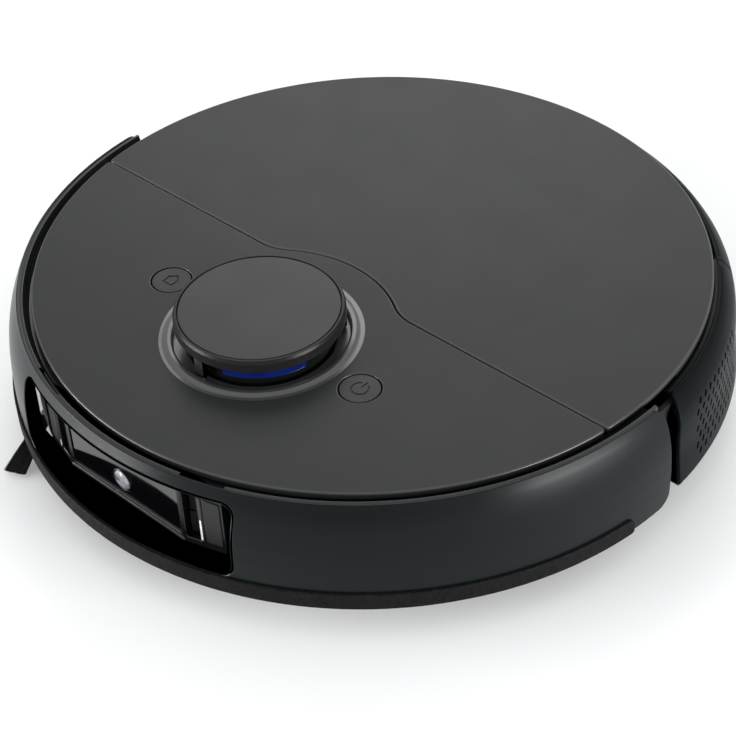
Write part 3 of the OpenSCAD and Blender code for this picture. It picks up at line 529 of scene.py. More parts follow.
def rubber(name, colour, rough=0.7):
    """Soft rubber: dull, with dusty scuffs and a slight skin."""
    f = Finish(name, colour, rough, specular=0.3)
    dusty = tuple(0.6 * c + 0.035 for c in colour)
    f.tint(f.noise(7, 5), colour, dusty, 0.45, 0.8)
    f.gloss(f.noise(5, 4), 0.12)
    f.bump(f.noise(0.7, 3), 0.05)
    return f.material


# A material for each material slot of the record
PALETTE = {
    "tray_plastic": moulded(
        "tray_plastic", (0.012, 0.0125, 0.013), 0.55, 0.6, 0.03, 0.08, 0.15, specular=0.3),
    "frame_plastic": moulded("frame_plastic", (0.018, 0.019, 0.02), 0.5, 0.6, 0.03, specular=0.3),
    "top_grey": top_paint,
    "button_grey": button_paint,
    "turret_satin": cap_satin,
    "shell_satin": shell_satin,
    "trim_grey": trim_plastic,
    "strip_rubber": strip_rubber,
    "recess_black": recess_black,
    "sensor_glass": window_glass,
    "lens_glass": lens_glass,
    "filter_blue": painted_blue_glow,
    "lidar_plastic": moulded("lidar_plastic", (0.006, 0.006, 0.0065), 0.4, specular=0.3),
    "motor_steel": metal("motor_steel", (0.46, 0.47, 0.49), 0.34, (1, 1, 6)),
    "belt_rubber": rubber("belt_rubber", (0.012, 0.012, 0.012)),
    "pulley_brass": metal("pulley_brass", (0.62, 0.45, 0.2), 0.3, (1, 1, 5)),
    "board_green": moulded("board_green", (0.012, 0.06, 0.028), 0.4, 1.2, 0.04, 0.1, 0.3),
    "battery_blue": moulded("battery_wrap", (0.02, 0.05, 0.16), 0.3, 9, 0.25, 0.1, 0.15),
    "duct_black": moulded("duct_black", (0.014, 0.014, 0.015), 0.55, 0.7, 0.03, specular=0.3),
    "fan_white": moulded("fan_white", (0.58, 0.58, 0.55), 0.45, 0.8, 0.02, mottle=0.08),
    "blade_blue": rubber("blade_rubber", (0.02, 0.07, 0.17), 0.55),
    "bristle_black": moulded(
        "nylon_black", (0.007, 0.007, 0.007), 0.4, 0.4, 0.02, mottle=0.3, specular=0.3),
    "contact_gold": metal("contact_plate", (0.72, 0.6, 0.36), 0.24, (6, 1, 1)),
    "steel_bright": metal("zinc_bright", (0.6, 0.6, 0.61), 0.26, (1, 1, 4)),
    "hub_grey": moulded("hub_grey", (0.03, 0.031, 0.033), 0.45, 0.6, 0.03, 0.09, 0.12),
    "tyre_rubber": rubber("tyre_rubber", (0.010, 0.010, 0.010), 0.78),
    "bin_smoke": smoked("bin_smoke", (0.35, 0.37, 0.39), 0.75),
    "filter_white": pleated("filter_pleats", (0.78, 0.77, 0.72), 0.9, 2.6),
    "tank_smoke": smoked("tank_smoke", (0.22, 0.25, 0.28), 0.7),
    "release_black": moulded(
        "release_black", (0.010, 0.010, 0.011), 0.42, 0.5, 0.02, specular=0.3),
    "pad_blue": microfibre,
}


def finish_node(name, material):
    """Gives a CAD node its material, and rounds its sharp edges with modifiers, which leave its
    own vertices alone."""
    node = NODES[name]
    node.data.materials.clear()
    node.data.materials.append(material)
    node.modifiers.new("weld", "WELD").merge_threshold = 1e-5
    bevel = node.modifiers.new("bevel", "BEVEL")
    bevel.width = 0.3 * MM
    bevel.segments = 2
    bevel.limit_method = "ANGLE"
    bevel.angle_limit = math.radians(32)
    bevel.use_clamp_overlap = True
    node.modifiers.new("normals", "WEIGHTED_NORMAL").weight = 90


# ---- camera, floor, light ----
def set_camera():
    """The photograph's view, from a fit of the robot's circles in it."""
    image, focal = 736, 1900  # pixels
    pitch, heading, roll = math.radians(40.39), math.radians(44.72), math.radians(-3.20)
    rz = Matrix.Rotation(heading, 3, "Z")
    ahead = rz @ Vector((0, math.cos(pitch), -math.sin(pitch)))
    right = rz @ Vector((1, 0, 0))
    up = right.cross(ahead)
    across = math.cos(roll) * right + math.sin(roll) * up
    upright = -math.sin(roll) * right + math.cos(roll) * up
    data = bpy.data.cameras.new("camera")
    data.sensor_width = 36
    data.lens = focal / image * data.sensor_width
    data.clip_start = 0.02
    camera = bpy.data.objects.new("camera", data)
    scene.collection.objects.link(camera)
    turn = Matrix((across, upright, -ahead)).transposed().to_4x4()
    camera.matrix_world = Matrix.Translation((0.4994, -0.5103, 0.6095)) @ turn
    scene.camera = camera


def area_light(name, place, aim, size, energy):
    data = bpy.data.lights.new(name, "AREA")
    data.shape = "RECTANGLE"
    data.size, data.size_y = size
    data.energy = energy
    light = bpy.data.objects.new(name, data)
    light.location = place
    light.rotation_euler = (Vector(place) - Vector(aim)).to_track_quat("Z", "Y").to_euler()
    scene.collection.objects.link(light)


def set_stage():
    """A round pale floor, and a studio sky that is a little darker low down."""
    n = 48
    rings = [arc(0, 0, r, 0, 360, n)[:-1] for r in (0.001, 0.4, 1.2, 4.0)]
    verts = [(*p, 0.0) for ring in rings for p in ring]
    faces = [(j * n + i, j * n + (i + 1) % n, (j + 1) * n + (i + 1) % n, (j + 1) * n + i)
             for j in range(3) for i in range(n)]
    faces.append(tuple(range(n)))
    mesh = bpy.data.meshes.new("floor")
    mesh.from_pydata(verts, [], faces)
    f = Finish("pale_floor", (0.86, 0.865, 0.87), 0.6, specular=0.2, Emission_Strength=0.04,
               Emission_Color=(1, 1, 1, 1))
    f.shade(f.noise(160, 2), 0.01)
    mesh.materials.append(f.material)
    floor = bpy.data.objects.new("floor", mesh)
    scene.collection.objects.link(floor)
    world = bpy.data.worlds.new("studio")
    world.use_nodes = True
    tree = world.node_tree
    sky = tree.nodes["Background"]
    ramp = tree.nodes.new("ShaderNodeValToRGB")
    spot = tree.nodes.new("ShaderNodeTexCoord")
    split = tree.nodes.new("ShaderNodeSeparateXYZ")
    tree.links.new(spot.outputs["Generated"], split.inputs["Vector"])
    tree.links.new(split.outputs["Z"], ramp.inputs["Fac"])
    set_ramp(ramp, (0.0, 0.85), ((0.86, 0.87, 0.88), (1.0, 1.0, 1.0)))
    tree.links.new(ramp.outputs["Color"], sky.inputs["Color"])
    sky.inputs["Strength"].default_value = 0.79
    scene.world = world
    scene.view_settings.view_transform = "Standard"


set_camera()
set_stage()
area_light("overhead", (-1.4, 1.7, 1.5), (0, 0, 0.05), (1.5, 1.2), 19)
area_light("front_left", (-0.8, -1.0, 0.2), (0, -0.1, 0.05), (0.8, 0.36), 24)
area_light("right_side", (1.15, 0.12, 0.25), (0, 0, 0.05), (0.6, 0.3), 14)


# ---- top halves ----
CORNER_R = 1.6  # small corners of each half in plan
RIM_EDGE = 0.8  # rounding of the outer rim in section
SEAM_EDGE = 0.4  # the same along the front cover's seam
LID_SEAM_EDGE = 0.95  # rounder on the lid, so that it clears the front cover as it swings up
COLLAR_R = 46.5


def seam_points(grow):
    """The seam from +X to -X, moved back by grow."""
    line_y, arc_r, bend_r = SEAM_Y + grow, BUMP_R + grow, BLEND_R - grow
    bend_y = line_y + bend_r
    bend_x = math.sqrt((arc_r + bend_r) ** 2 - (bend_y - TURRET_Y) ** 2)
    meet = math.degrees(math.atan2(bend_y - TURRET_Y, bend_x))
    return np.concatenate([
        arc(bend_x, bend_y, bend_r, -90, meet - 180, 16),
        arc(0, TURRET_Y, arc_r, meet, 180 - meet, 56)[1:-1],
        arc(-bend_x, bend_y, bend_r, -meet, -90, 16)])


def half_disc(front):
    """Outline of one half of the top, with small round corners, and the edge radius along it."""
    grow = -GAP if front else GAP
    seam = seam_points(grow)
    cy = SEAM_Y + grow + (-CORNER_R if front else CORNER_R)
    x = math.sqrt((DISC_R - CORNER_R) ** 2 - cy ** 2)
    rim = math.degrees(math.atan2(cy, x))
    up = 90 if front else -90
    right = arc(x, cy, CORNER_R, rim, up, 5)
    left = arc(-x, cy, CORNER_R, up, 2 * up - rim, 5)
    end, steps = (360 + rim, 190) if front else (rim, 170)
    round_rim = arc(0, 0, DISC_R, 180 - rim, end, steps)[1:-1]
    loop = np.concatenate([right, seam, left, round_rim])
    crest = SEAM_EDGE if front else LID_SEAM_EDGE
    soft = np.concatenate([
        np.linspace(RIM_EDGE, crest, len(right)), np.full(len(seam), crest),
        np.linspace(crest, RIM_EDGE, len(left)), np.full(len(round_rim), RIM_EDGE)])
    return (loop, soft) if front else (loop[::-1], soft[::-1])


def rim_skirt(shape, a0, a1, inner):
    """The band under the rim, whose outside is seen in the groove above the bumper."""
    profile = [(inner, 66), (157.5, 66), (DISC_R, 67.2), (DISC_R, 68.4), (inner, 68.4)]
    revolve(shape, profile, [0.3, 0.6, 0.6, 0.02, 0.02], a0, a1)


def top_front():
    s = Shape()
    loop, soft = half_disc(True)
    loops = [loop, circle(0, TURRET_Y, COLLAR_R, 120, hole=True)]
    loops += [circle(k * BUTTON_X, BUTTON_Y, BUTTON_R + 0.55, 72, hole=True) for k in (-1, 1)]
    # the edge rings take slot 1, the lighter copy whose colour paints a highlight along the edges
    patch(s, loops, flat(TOP_Z), [soft, 0.0, 0.35, 0.35], 2.3, edge_slot=1)
    rim_skirt(s, -80.4, 80.4, 155)
    # the collar's soft lip and the ledge inside it, in a lighter, glossier copy of the top's paint
    # whose colour paints the lip's highlight
    collar = [(COLLAR_R, TOP_Z), (44.6, 70.55), (42.6, 71.55), (40.9, 71.5), (40.1, 70.9),
              (40.1, 68.3), (34.6, 68.3), (34.6, 66.6)]
    revolve(s, collar, [0, 3, 1.2, 0.9, 0.8, 0.3, 0.3, 0], centre=(0, TURRET_Y), closed=False,
            steps=6, slot=2)
    s.make("top_front", [top_paint, top_edge_highlight, collar_lip_highlight], "chassis", ["top_cover"])


def top_rear():
    s = Shape()
    loop, soft = half_disc(False)
    # the edge rings take slot 1, the lighter copy whose colour paints a highlight along the edges
    patch(s, [loop], flat(TOP_Z), [soft], 2.2, edge_slot=1)
    rim_skirt(s, 98.7, 261.3, 150)
    s.make("top_rear", [top_paint, top_edge_highlight], "lid", ["rear_lid"])


top_front()
top_rear()


# ---- turret ----
def turret():
    at = (0, TURRET_Y)
    s = Shape()
    roof = [(35.6, 80.3), (35.6, 79.6), (39.0, 79.6), (38.75, 83.9), (38.1, 85.4), (36.95, 85.4),
            (36.95, 84.0), (20, 84.0), (20, 80.3)]
    revolve(s, roof, [0.2, 0.3, 0.5, 0.9, 0.35, 0.25, 0.1, 0.1, 0.1], centre=at, slot=1,
            step_deg=1.5)
    # three pillars, each 7.8 degrees wide
    for a in (0, 142, 218):
        pillar = [(35.4, 69.5), (38.6, 69.5), (38.6, 80), (35.4, 80)]
        revolve(s, pillar, 0.5, a - 3.9, a + 3.9, centre=at, slot=1)
    s.make("turret_roof", [cap_satin, cap_side], "turret", ["turret_cover"])
    s = Shape()
    revolve(s, [(0.01, 84.0), (36.6, 84.0), (36.6, 85.3), (0.01, 85.3)], [0, 0.1, 0.45, 0],
            centre=at, closed=False, step_deg=1.5)
    s.make("turret_inlay", [cap_satin], "turret", ["turret_disc"])


turret()


# ---- buttons ----
def key(name, sx, signs, node):
    """A round button with a groove for its sign, a dark floor under the groove, and a stem."""
    s = Shape()
    z = TOP_Z - 0.2
    x = sx * BUTTON_X
    edges = [0.45] + [0.06] * len(signs)
    patch(s, [circle(x, BUTTON_Y, BUTTON_R, 72)] + signs, flat(z), edges, 1.8, back=False)
    floor = circle(x, BUTTON_Y, BUTTON_R - 1, 48)
    patch(s, [floor], flat(z - 0.3), 0.05, 0.3, slot=1, back=False)
    revolve(s, [(0.01, 65), (3.1, 65), (3.1, 69), (0.01, 69)], 0.1, centre=(x, BUTTON_Y),
            closed=False, step_deg=12)
    s.make(name, [button_paint, sign_dark], node, [node])


def power_sign(x, y):
    ring = np.concatenate([arc(x, y, 4.2, 118, 422, 40), arc(x, y, 3.5, 422, 118, 40)])[::-1]
    return [ring, rect(x - 0.35, x + 0.35, y + 1, y + 4.9, 0.3, hole=True)]


def house_sign(x, y):
    outer = [(x - 3, y - 3.2), (x + 3, y - 3.2), (x + 3, y + 0.8), (x + 4.1, y + 0.8),
             (x, y + 4.6), (x - 4.1, y + 0.8), (x - 3, y + 0.8)]
    inner = [(x - 2.35, y - 2.55), (x + 2.35, y - 2.55), (x + 2.35, y + 1.2), (x, y + 3.5),
             (x - 2.35, y + 1.2)]
    return [rounded(outer, 0.3, 3, True)[0][::-1], rounded(inner, 0.2, 3, True)[0]]


key("power_key", 1, power_sign(BUTTON_X, BUTTON_Y), "power_button")
key("home_key", -1, house_sign(-BUTTON_X, BUTTON_Y), "home_button")


# ---- bumper ----
FACE = [(173.5, STRIP_LOW), (173.7, 29), (173.6, 38), (173.1, 47), (172.0, 54.5), (170.4, 60.5),
        (168.6, 65.2), (166.9, 68.7), (166.1, TOP_Z)]
face_surface = lathe_surface(*rounded(FACE, [0, 60, 60, 50, 40, 40, 40, 30, 0], 6))
# The bumper's opening and the liner's outside and inside: half width, low and high edge, corners
OPENING = (67.0, 26.8, 65.6, 7)
LINER_OUT = (66.95, 26.85, 65.55, 7)
LINER_IN = (65.8, 28.0, 64.4, 5.8)
LINER_BACK = -152.8


def recess_outline(half, low, high, corner):
    """The recess seen from the front: x and z round its edge."""
    return fill_line(rect(-half, half, low, high, corner, steps=8), 2.5)


def bumper():
    s = Shape()
    span = along(BUMPER_END)
    corners = [7.5, 7.5, 7, 7]
    outline = fill_line(rect(-span, span, 0.0, face_surface.length, corners, steps=8), 4)
    xz = recess_outline(*OPENING)[::-1]
    v = face_surface.v_at(xz[:, 1])
    u = np.arcsin(xz[:, 0] / face_surface.r_at(xz[:, 1])) * STRIP_R
    patch(s, [outline, np.stack([u, v], 1)], face_surface, [0.55, 0.7], 2.0, grid=(6, 2.4))
    s.make("bumper_face", [shell_satin], "bumper", ["bumper_shell"])

    # the trim ring, which drops to its floor in two notches beside the nose
    s = Shape()
    low = [(156.5, 64.0), (167.6, 64.0), (167.6, 65.2), (164.0, 65.6), (162.2, 66.8), (160.9, 65.4),
           (156.5, 65.2)]
    full = [(156.5, 64.0), (167.6, 64.0), (167.6, 65.2), (164.9, 65.4), (164.9, 69.9),
            (163.3, 70.1), (162.9, 68.6), (162.0, 66.6), (160.9, 65.4), (156.5, 65.2)]
    end, at, half = 90.2, 17.4, 3.7
    cuts = (-end, -at - half, -at + half, at - half, at + half, end)
    for a0, a1, prof in zip(cuts, cuts[1:], (full, low, full, low, full)):
        revolve(s, prof, 0.35, a0, a1, steps=3)
    s.make("bumper_lip", [trim_plastic], "bumper", ["bumper_trim"])

    s = Shape()
    surf = lathe_surface(*rounded([(STRIP_R, STRIP_LOW), (STRIP_R, STRIP_HIGH)], 0))
    half, high = along(82.5), STRIP_HIGH - STRIP_LOW
    band = fill_line(rect(-half, half, 0, high, [2, 2, 4.5, 4.5], steps=6), 5)
    patch(s, [band], surf, 0.75, 1.5, grid=(5, 3))
    s.make("bumper_band", [strip_rubber], "bumper", ["bumper_strip"])


def recess_liner():
    s = Shape()
    n = 220  # points on each loop, the same for both, so that the front edge can join them

    def resample(loop):
        ring = np.concatenate([loop, loop[:1]])
        way = lengths(ring)
        t = np.linspace(0, way[-1], n, endpoint=False)
        return np.stack([np.interp(t, way, ring[:, 0]), np.interp(t, way, ring[:, 1])], 1)
    outer, inner = (resample(recess_outline(*sizes)) for sizes in (LINER_OUT, LINER_IN))

    def front(loop, back):
        r = face_surface.r_at(loop[:, 1]) - back
        return np.stack([loop[:, 0], -np.sqrt(r ** 2 - loop[:, 0] ** 2), loop[:, 1]], 1)

    def normal(loop):
        e = unit(np.roll(loop, -1, 0) - np.roll(loop, 1, 0))
        return np.stack([-e[:, 1], 0 * e[:, 0], e[:, 0]], 1)
    into = normal(inner)
    ahead = np.tile([0, -1.0, 0], (n, 1))
    rings, norms = [], []
    # the front edge, bowed a little between its outside and its inside
    edge_back, bow = 0.45, 0.25
    for k in range(5):
        t = k / 4
        loop = outer * (1 - t) + inner * t
        rings.append(front(loop, edge_back - bow * math.sin(math.pi * t)))
        norms.append(unit(ahead + into * (2 * t - 1) * 0.9))
    s.rings(rings, norms, flip=True)
    deep, far = (np.stack([r[:, 0], np.full(n, LINER_BACK), r[:, 1]], 1) for r in (inner, outer))
    walls = [front(inner, edge_back) * (1 - t) + deep * t for t in (0, 0.25, 0.5, 0.75, 1)]
    s.rings(walls, [into] * 5, flip=True)
    s.rings([far, front(outer, edge_back)], [-normal(outer)] * 2, flip=True)
    s.rings([deep, far], [-ahead] * 2, flip=True)
    s.make("recess_liner", [recess_black], "bumper", ["sensor_surround"])


bumper()
recess_liner()


# ---- side walls and tank cover ----
SIDE = [(173.5, 20), (171.6, 38), (171.1, 48), (170.5, 54), (169.2, 58.5), (166, 63.4),
        (162.6, LEDGE_Z), (162.2, LEDGE_Z - 0.5), (161.8, LEDGE_Z), (160.5, LEDGE_Z),
        (160, LEDGE_Z - 0.5), (160, 64.4)]
side_surface = lathe_surface(
    *rounded(SIDE, [0, 60, 40, 20, 12, 9, 1.2, 0.15, 0.2, 0.3, 0.3, 0], 6))
# The vent slots, in slanted rows: degrees from the nose and heights
VENT_START, VENT_LEAN, VENT_STEP = 94.31, 0.967, 1.847
VENT_LOW, VENT_RISE = 27.8, 4.59


def panel_front(v):
    """Angle of the side panel's front edge, which leans back above the shoulder."""
    z, r = side_surface.z_at(v), side_surface.r_of(v)
    y = PANEL_Y + np.interp(z, [48, 57, LEDGE_Z], [0, 1.6, 4.2])
    return 90 + np.degrees(np.arcsin(y / r))


def vent_places():
    for row in range(7):
        for col in range(13):
            a = VENT_START + row * VENT_LEAN + col * VENT_STEP
            if 98.6 < a < 118:
                yield a, VENT_LOW + row * VENT_RISE


def side_wall(side, name, node):
    s = Shape()
    v = np.linspace(0, side_surface.length, 40)
    front = np.stack([[along(a) for a in panel_front(v)], v], 1)
    back = along(TANK_END)
    box = [front[1], (back, 0), (back, side_surface.length), front[-2]]
    outline = np.concatenate([front[::-1][1:-1], rounded(box, [0, 0.8, 0.6, 0], 4)[0][1:-1]])
    corner = rounded([outline[-1], front[-1], front[-2]], [0, 0.6, 0], 4)[0][1:-1]
    outline = fill_line(np.concatenate([outline, corner]), 3)
    lean = math.degrees(math.atan2(VENT_LEAN * math.radians(1) * 172, VENT_RISE))
    vent = np.concatenate([arc(0, 0.75, 0.92, 0, 180, 5), arc(0, -0.75, 0.92, 180, 360, 5)])
    holes = [turn_loop(vent, along(a), float(side_surface.v_at(z)), -lean)[::-1]
             for a, z in vent_places()]
    if side < 0:
        outline = (outline * [-1, 1])[::-1]
        holes = [(h * [-1, 1])[::-1] for h in holes]
    edges = [0.7] + [0.16] * len(holes)
    patch(s, [outline] + holes, side_surface, edges, 1.7, grid=(5, 2.5))
    # dark sheet behind the slots, painted shade seen through them, and the closed front end
    mid = side * 108
    mesh = [(167.6, 24), (168.2, 24), (166.6, 57), (166.0, 57)]
    revolve(s, mesh, 0.1, mid - 13, mid + 13, slot=1)
    lower = v[:26]
    wall = np.stack([side_surface.r_of(lower) - 1.2, side_surface.z_at(lower)], 1)
    wall = np.concatenate([wall, [[163.6, 60], [163.6, 20.6]]])
    for y, sign in ((PANEL_Y + 0.3, -1), (PANEL_Y + 2.4, 1)):
        x = side * np.sqrt(wall[:, 0] ** 2 - y * y)
        ring = np.stack([x, np.full(len(wall), y), wall[:, 1]], 1)
        s.cap(ring, [0, sign, 0], sign * side > 0, 1)
    # flange under the rim of the top, whose round end shows in front
    start = 95.3
    flange = [(154, 63.6), (161.6, 63.6), (161.6, 66.1), (159.9, 66.1), (159.9, 65.3), (154, 65.3)]
    a0, a1 = (start, TANK_END) if side > 0 else (-TANK_END, -start)
    revolve(s, flange, [0.1, 0.7, 0.5, 0.2, 0.1, 0.1], a0, a1, slot=2)
    s.make(name, [panel_satin, dark_inside, ledge_dark], "chassis", [node])


side_wall(-1, "side_wall_left", "side_panel_left")
side_wall(1, "side_wall_right", "side_panel_right")


def tank_shell():
    """The tank's curved shell with its finger grip and latch opening, and the latch."""
    u0, u1, mid = along(131.1), along(228.9), along(180)
    top = side_surface.length
    grip, low = math.asin(23.5 / 170.5) * STRIP_R, float(side_surface.v_at(54))
    ends = [(u0, 0), (u1, 0), (u1, top), (mid + grip, top), (mid + grip, low), (mid - grip, low),
            (mid - grip, top), (u0, top)]
    outline = fill_line(rounded(ends, [0.8, 0.8, 0.6, 0.6, 3, 3, 0.6, 0.6], 4, True)[0], 3)
    half = math.asin(20.4 / 171.5) * STRIP_R
    v0, v1 = float(side_surface.v_at(35.6)), float(side_surface.v_at(48.4))
    hole = fill_line(rect(mid - half, mid + half, v0, v1, 3.4, steps=6), 3)[::-1]
    s = Shape()
    patch(s, [outline, hole], side_surface, [0.7, 0.5], 1.7, grid=(5, 2.5))
    s.make("tank_shell", [panel_satin], "water_tank", ["tank_cover"])
    s = Shape()
    surf = lathe_surface(*rounded([(170.9, 36), (169.9, 42), (170.4, 48)], [0, 30, 0], 8))
    half = math.asin(20 / 171) * STRIP_R
    pad = fill_line(rect(mid - half, mid + half, 0, surf.length, 3, steps=6), 2)
    patch(s, [pad], surf, 0.45, 0.6, grid=(3, 2))
    s.make("tank_latch", [trim_plastic], "tank_button", ["tank_button"])


tank_shell()


# ---- sensor module ----
def plane(origin, across=(1, 0, 0), up=(0, 0, 1)):
    """A flat surface: u runs along across, v along up, and it faces across x up."""
    origin, up = np.array(origin, float), np.array(up, float)
    across = unit(np.array(across, float))
    normal = np.cross(across, up)

    def surface(uv):
        one = np.ones((len(uv), 1))
        return origin + uv[:, :1] * across + uv[:, 1:] * up, one * normal, one * across, one * up
    return surface


def wing_plane(side, x, y):
    """The slope of the module's wing on one side, from a point on its inner edge."""
    return plane((x, y, 0), (side * WING_RUN, WING_BACK, 0), (0, 0, side))


def lathe_y(shape, profile, slot, sides=40):
    """A profile of radius and y, turned about the lens's axis."""
    prof, tan = rounded(profile, 0.3, 3)
    out = np.stack([-tan[:, 1], tan[:, 0]], 1)
    rings, norms = [], []
    for a in np.radians(np.linspace(0, 360, sides + 1)):
        cs, sn = math.cos(a), math.sin(a)
        rings.append(np.stack([LENS_X + prof[:, 0] * cs, prof[:, 1], LENS_Z + prof[:, 0] * sn], 1))
        norms.append(np.stack([out[:, 0] * cs, out[:, 1], out[:, 0] * sn], 1))
    shape.rings(rings, norms, closed=False, slot=slot, flip=True)


def sensor_module():
    s = Shape()
    edges = [rect(-37, 37, 29.6, 63.6, 1.2), rect(-35, 35, 33, 59, 0.8, hole=True)]
    patch(s, edges, plane((0, MODULE_Y, 0)), [0.45, 0.25], 3.2)
    patch(s, [rect(-37, 37, 29.6, 31.4, 0.6)], plane((0, MODULE_Y - 0.3, 0)), 0.3, 1, slot=1)
    for k in (-1, 1):
        # the wings that lean back on both sides: pocket, slit rim and plate
        def wing(u0, u1, z0, z1, r=0.4, hole=False):
            loop = rect(u0, u1, z0, z1, r)
            loop = loop if k > 0 else (loop * [1, -1])[::-1]
            return loop[::-1] if hole else loop
        outline = [wing(0, 20.4, 29.6, 63.6), wing(0.9, 8.4, 33, 60, 0.8, True)]
        patch(s, outline, wing_plane(k, k * WING_X, MODULE_Y + 0.1), [0.35, 0.5], 4.6)
        patch(s, [wing(-1, 10, 32, 61)], wing_plane(k, k * 38.5, -155.3), 0.1, 1, slot=2)
        raised = wing_plane(k, k * WING_X - k * 0.2, MODULE_Y - 0.5)
        patch(s, [wing(8.6, 10.6, 33.4, 59.4, 0.5)], raised, 0.3, 0.9, slot=1)
        patch(s, [wing(11.4, 19.6, 34.0, 58.6, 0.7)], raised, 0.35, 0.9, slot=3)
        block = plane((k * 37.6, -157.4, 0), (k * 4.2, 3.4, 0), (0, 0, k))
        patch(s, [wing(1.2, 5.4, 34, 46, 0.4)], block, 0.2, 0.6, slot=2)
    blacks = [recess_black, trim_plastic, dark_inside, PALETTE["release_black"]]
    s.make("sensor_module", blacks, "chassis", ["sensor_housing"])
    s = Shape()
    hole = circle(LENS_X, LENS_Z, 6.1, 48, hole=True)
    glass = plane((0, MODULE_Y + 0.6, 0))
    patch(s, [rect(-34.9, 34.9, 33.1, 58.9, 0.8), hole], glass, [0.2, 0.3], 0.8)
    for k in (-1, 1):
        # a slit window: dark above, with a pale strip in its lower part whose colour paints a glint
        slit = wing_plane(k, k * WING_X - k * 0.35, -160.55)
        bright = 46.2 if k > 0 else 38.0
        dark = rect(9.2, 10.0, bright + 0.4, 58.4, 0.3)
        for slot, loop in ((0, dark), (1, rect(9.1, 10.1, 34.4, bright, 0.3))):
            patch(s, [loop if k > 0 else (loop * [1, -1])[::-1]], slit, 0.1, 0.5, slot=slot)
    glasses = [window_glass, slit_glint]
    s.make("sensor_glass", glasses, "chassis", ["sensor_windows"])
    s = Shape()
    lathe_y(s, [(5.9, -153), (5.9, -159.9), (5.6, -160.2), (5.2, -160.2), (5.1, -159.0)], 1)
    lathe_y(s, [(5.2, -159.4), (4.6, -160.15), (3.4, -160.75), (1.8, -161.1), (0.01, -161.2)], 0)
    s.make("lens", [lens_glass, recess_black], "chassis", ["camera_lens"])


sensor_module()


# ---- brushes and mop ----
SIDE_BRUSH = (-106, -106, 7.6)  # the hub's axis, and the height at which the fans leave it
ROLLER_Y, ROLLER_Z = -27, 18    # the main brush's axis


def side_brush():
    """Two dense flat bundles of nylon, fanned out from the arms of the hub."""
    drop = math.atan2(4.6, 42.6)
    long = 42.6 / math.cos(drop) - 1.2
    root, tip = 2.2, 5.3  # half the bundle's width at the hub and at the tips
    rng = np.random.default_rng(7)
    s = Shape()
    for i in range(2):
        a = math.radians(-65 + i * 180)
        cs, sn = math.cos(a), math.sin(a)
        spin = np.array([[cs, -sn, 0], [sn, cs, 0], [0, 0, 1]])

        def put(t, w, h):
            """A point t along the bundle, w across it and h above its middle."""
            x = 24.2 + t * math.cos(drop) + h * math.sin(drop)
            return spin @ [x, w, -t * math.sin(drop) + h * math.cos(drop)] + SIDE_BRUSH

        def box(sections, slot=0):
            """A four-sided skin through sections of (t, half width, half height)."""
            corners = ((1, -1), (1, 1), (-1, 1), (-1, -1))
            rings = [np.array([put(t, w * dw, h * dh) for dw, dh in corners])
                     for t, w, h in sections]
            norms = [unit(ring - put(t, 0, 0)) for ring, (t, _, _) in zip(rings, sections)]
            s.rings(rings, norms, slot=slot)
            return rings
        for _ in range(330):
            w0, h0 = rng.uniform(-root, root), rng.uniform(-0.75, 0.75)
            w1, h1 = w0 / root * tip + rng.normal(0, 0.2), h0 * 0.9
            reach = long - abs(rng.normal(0, 0.5))
            rings, norms = [], []
            for k in range(5):
                t = k / 4
                bow = 0.35 * math.sin(math.pi * t) * rng.uniform(-1, 1)
                x, w, h = reach * t, w0 + (w1 - w0) * t + bow, h0 + (h1 - h0) * t
                thick = 0.17 - 0.05 * t
                ring = np.array([put(x, w + thick * dw, h + thick * dh)
                                 for dw, dh in ((1, 0), (0, 1), (-1, 0), (0, -1))])
                rings.append(ring)
                norms.append(unit(ring - put(x, w, h)))
            s.rings(rings, norms)
        # the solid heart of the bundle, closed at its tip
        rings = box([(t, root + (5.0 - root) * t / long, 0.5)
                     for t in np.linspace(0, long - 2.5, 6)])
        s.cap(rings[-1], rings[-1].mean(0) - rings[0].mean(0), True)
        # moulded cuff that holds the bundle
        box([(t, 2.5 + g, 0.85 + 0.15 * g)
             for t, g in ((-0.2, 0.0), (0.2, 0.55), (4.6, 0.55), (5.2, 0.1))], slot=1)
    nylon = [PALETTE["bristle_black"], PALETTE["hub_grey"]]
    s.make("side_bristles", nylon, "side_brush", ["side_brush_bristles"])


def brush_fins():
    """Six rubber fins in a shallow V round the core, thinner and scalloped at the lip."""
    s = Shape()
    root, knee, tip = 9.7, 11.5, 16.8
    for i in range(6):
        rings, norms = [], []
        for x in np.linspace(-78.6, 64.0, 73):
            a = math.radians(i * 60 + 13 * abs(x + 7.3) / 71.3 - 6.5)
            lip = tip - 0.35 * abs(math.sin(x * math.pi / 6.0))
            out = np.array([0, -math.sin(a), math.cos(a)])
            side = np.array([0, -math.cos(a), -math.sin(a)])
            # radius, half thickness, and the normal's share sideways and outwards
            half = ((root, 1.25, 1, 0.4), (knee, 0.75, 1, 0.15), (lip - 0.5, 0.5, 1, 0.05),
                    (lip, 0.25, 0.4, 1))
            section = half + tuple((r, -w, -n, m) for r, w, n, m in half[::-1])
            axis = np.array([x, ROLLER_Y, ROLLER_Z])
            rings.append(np.array([axis + out * r + side * w for r, w, _, _ in section]))
            norms.append(unit(np.array([side * n + out * m for _, _, n, m in section])))
        s.rings(rings, norms)
        s.cap(rings[0], [-1, 0, 0], True)
        s.cap(rings[-1], [1, 0, 0], False)
    fins = [PALETTE["blade_blue"]]
    s.make("brush_fins", fins, "main_brush", ["brush_blades"])


def pad_outline(grow):
    """The pad in plan, grown by a distance: straight in front, an arc behind."""
    side, near, r = 106 + grow, 91 - grow, 170 + grow
    a = math.degrees(math.asin(side / r))
    far = arc(0, 0, r, 90 - a, 90 + a, 60)
    corners = np.concatenate([[(-side, near), (side, near)], far])
    radii = [6, 6, 9] + [0] * (len(far) - 2) + [9]
    return fill_line(rounded(corners, radii, 6, True)[0], 2.2)


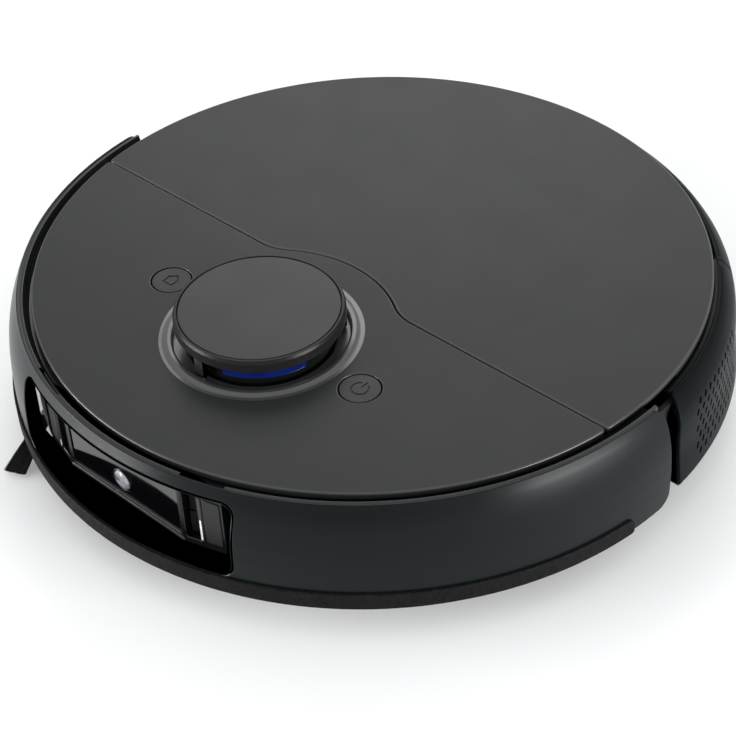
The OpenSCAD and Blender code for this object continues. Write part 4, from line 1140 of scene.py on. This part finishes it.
def mop_pad():
    """A looped pad with a sewn hem: rows of pile that swell between shallow channels."""
    s = Shape()
    face = pad_outline(-4.2)
    step = 1.6
    low, high = face.min(0), face.max(0)
    grid = np.meshgrid(np.arange(low[0], high[0], step), np.arange(low[1], high[1], step))
    grid = np.stack(grid, -1).reshape(-1, 2)
    grid = grid[inside(grid, [pad_outline(-5.2)])]
    uv, tris = triangulate([face], grid)
    away = np.sqrt(((uv[:, None] - face[None]) ** 2).sum(-1)).min(1)
    rng = np.random.default_rng(11)
    phase = uv[:, 0] * 2 * math.pi / PILE_ROW
    row = 0.5 + 0.5 * np.cos(phase)
    swell = np.minimum(1, away / 5) ** 0.5
    full, channel = 1.25, 0.55
    drop = swell * (full - channel * row ** 3) + 0.12 * rng.random(len(uv)) * swell
    under = np.stack([uv[:, 0], uv[:, 1], 2.5 - drop], 1)
    rise = swell * -channel * 3 * row ** 2 * 0.5 * np.sin(phase) * -2 * math.pi / PILE_ROW
    slope = np.stack([rise, 0 * swell, 0 * swell - 1], 1)
    s.add(under, unit(slope), tris[:, ::-1], 0)
    upper = np.stack([uv[:, 0], uv[:, 1], 0 * uv[:, 0] + 4.7], 1)
    s.add(upper, np.tile([0, 0, 1.0], (len(uv), 1)), tris, 1)
    # the hem: a folded tape round the edge, puckered by its stitches
    rings, norms = [], []
    base = pad_outline(-2.4)
    _, out = inset(base, 0)
    walk = lengths(base)
    pucker = 0.12 * np.cos(walk * 2 * math.pi / 5.5)
    for k in range(13):
        t = 2 * math.pi * k / 12
        reach = (2.1 + pucker) * math.cos(t)
        z = 3.2 + (1.5 + 0.4 * pucker) * math.sin(t)
        rings.append(np.stack([*(base + out * reach[:, None]).T, z], 1))
        norms.append(np.stack([*(out * math.cos(t)).T, np.full(len(base), math.sin(t))], 1))
    s.rings(rings, norms, slot=1)
    pad = s.make("mop_cloth", [microfibre, hem_tape], "water_tank", ["mop_pad"])


side_brush()
brush_fins()
mop_pad()

# ---- the rest of the CAD nodes ----
replaced = {n for n in NODES if NODES[n].hide_render}
for part in frame["record"]["subparts"]:
    node = part["node"]
    if node in NODES and node not in replaced:
        finish_node(node, PALETTE[part["material_slot"]])
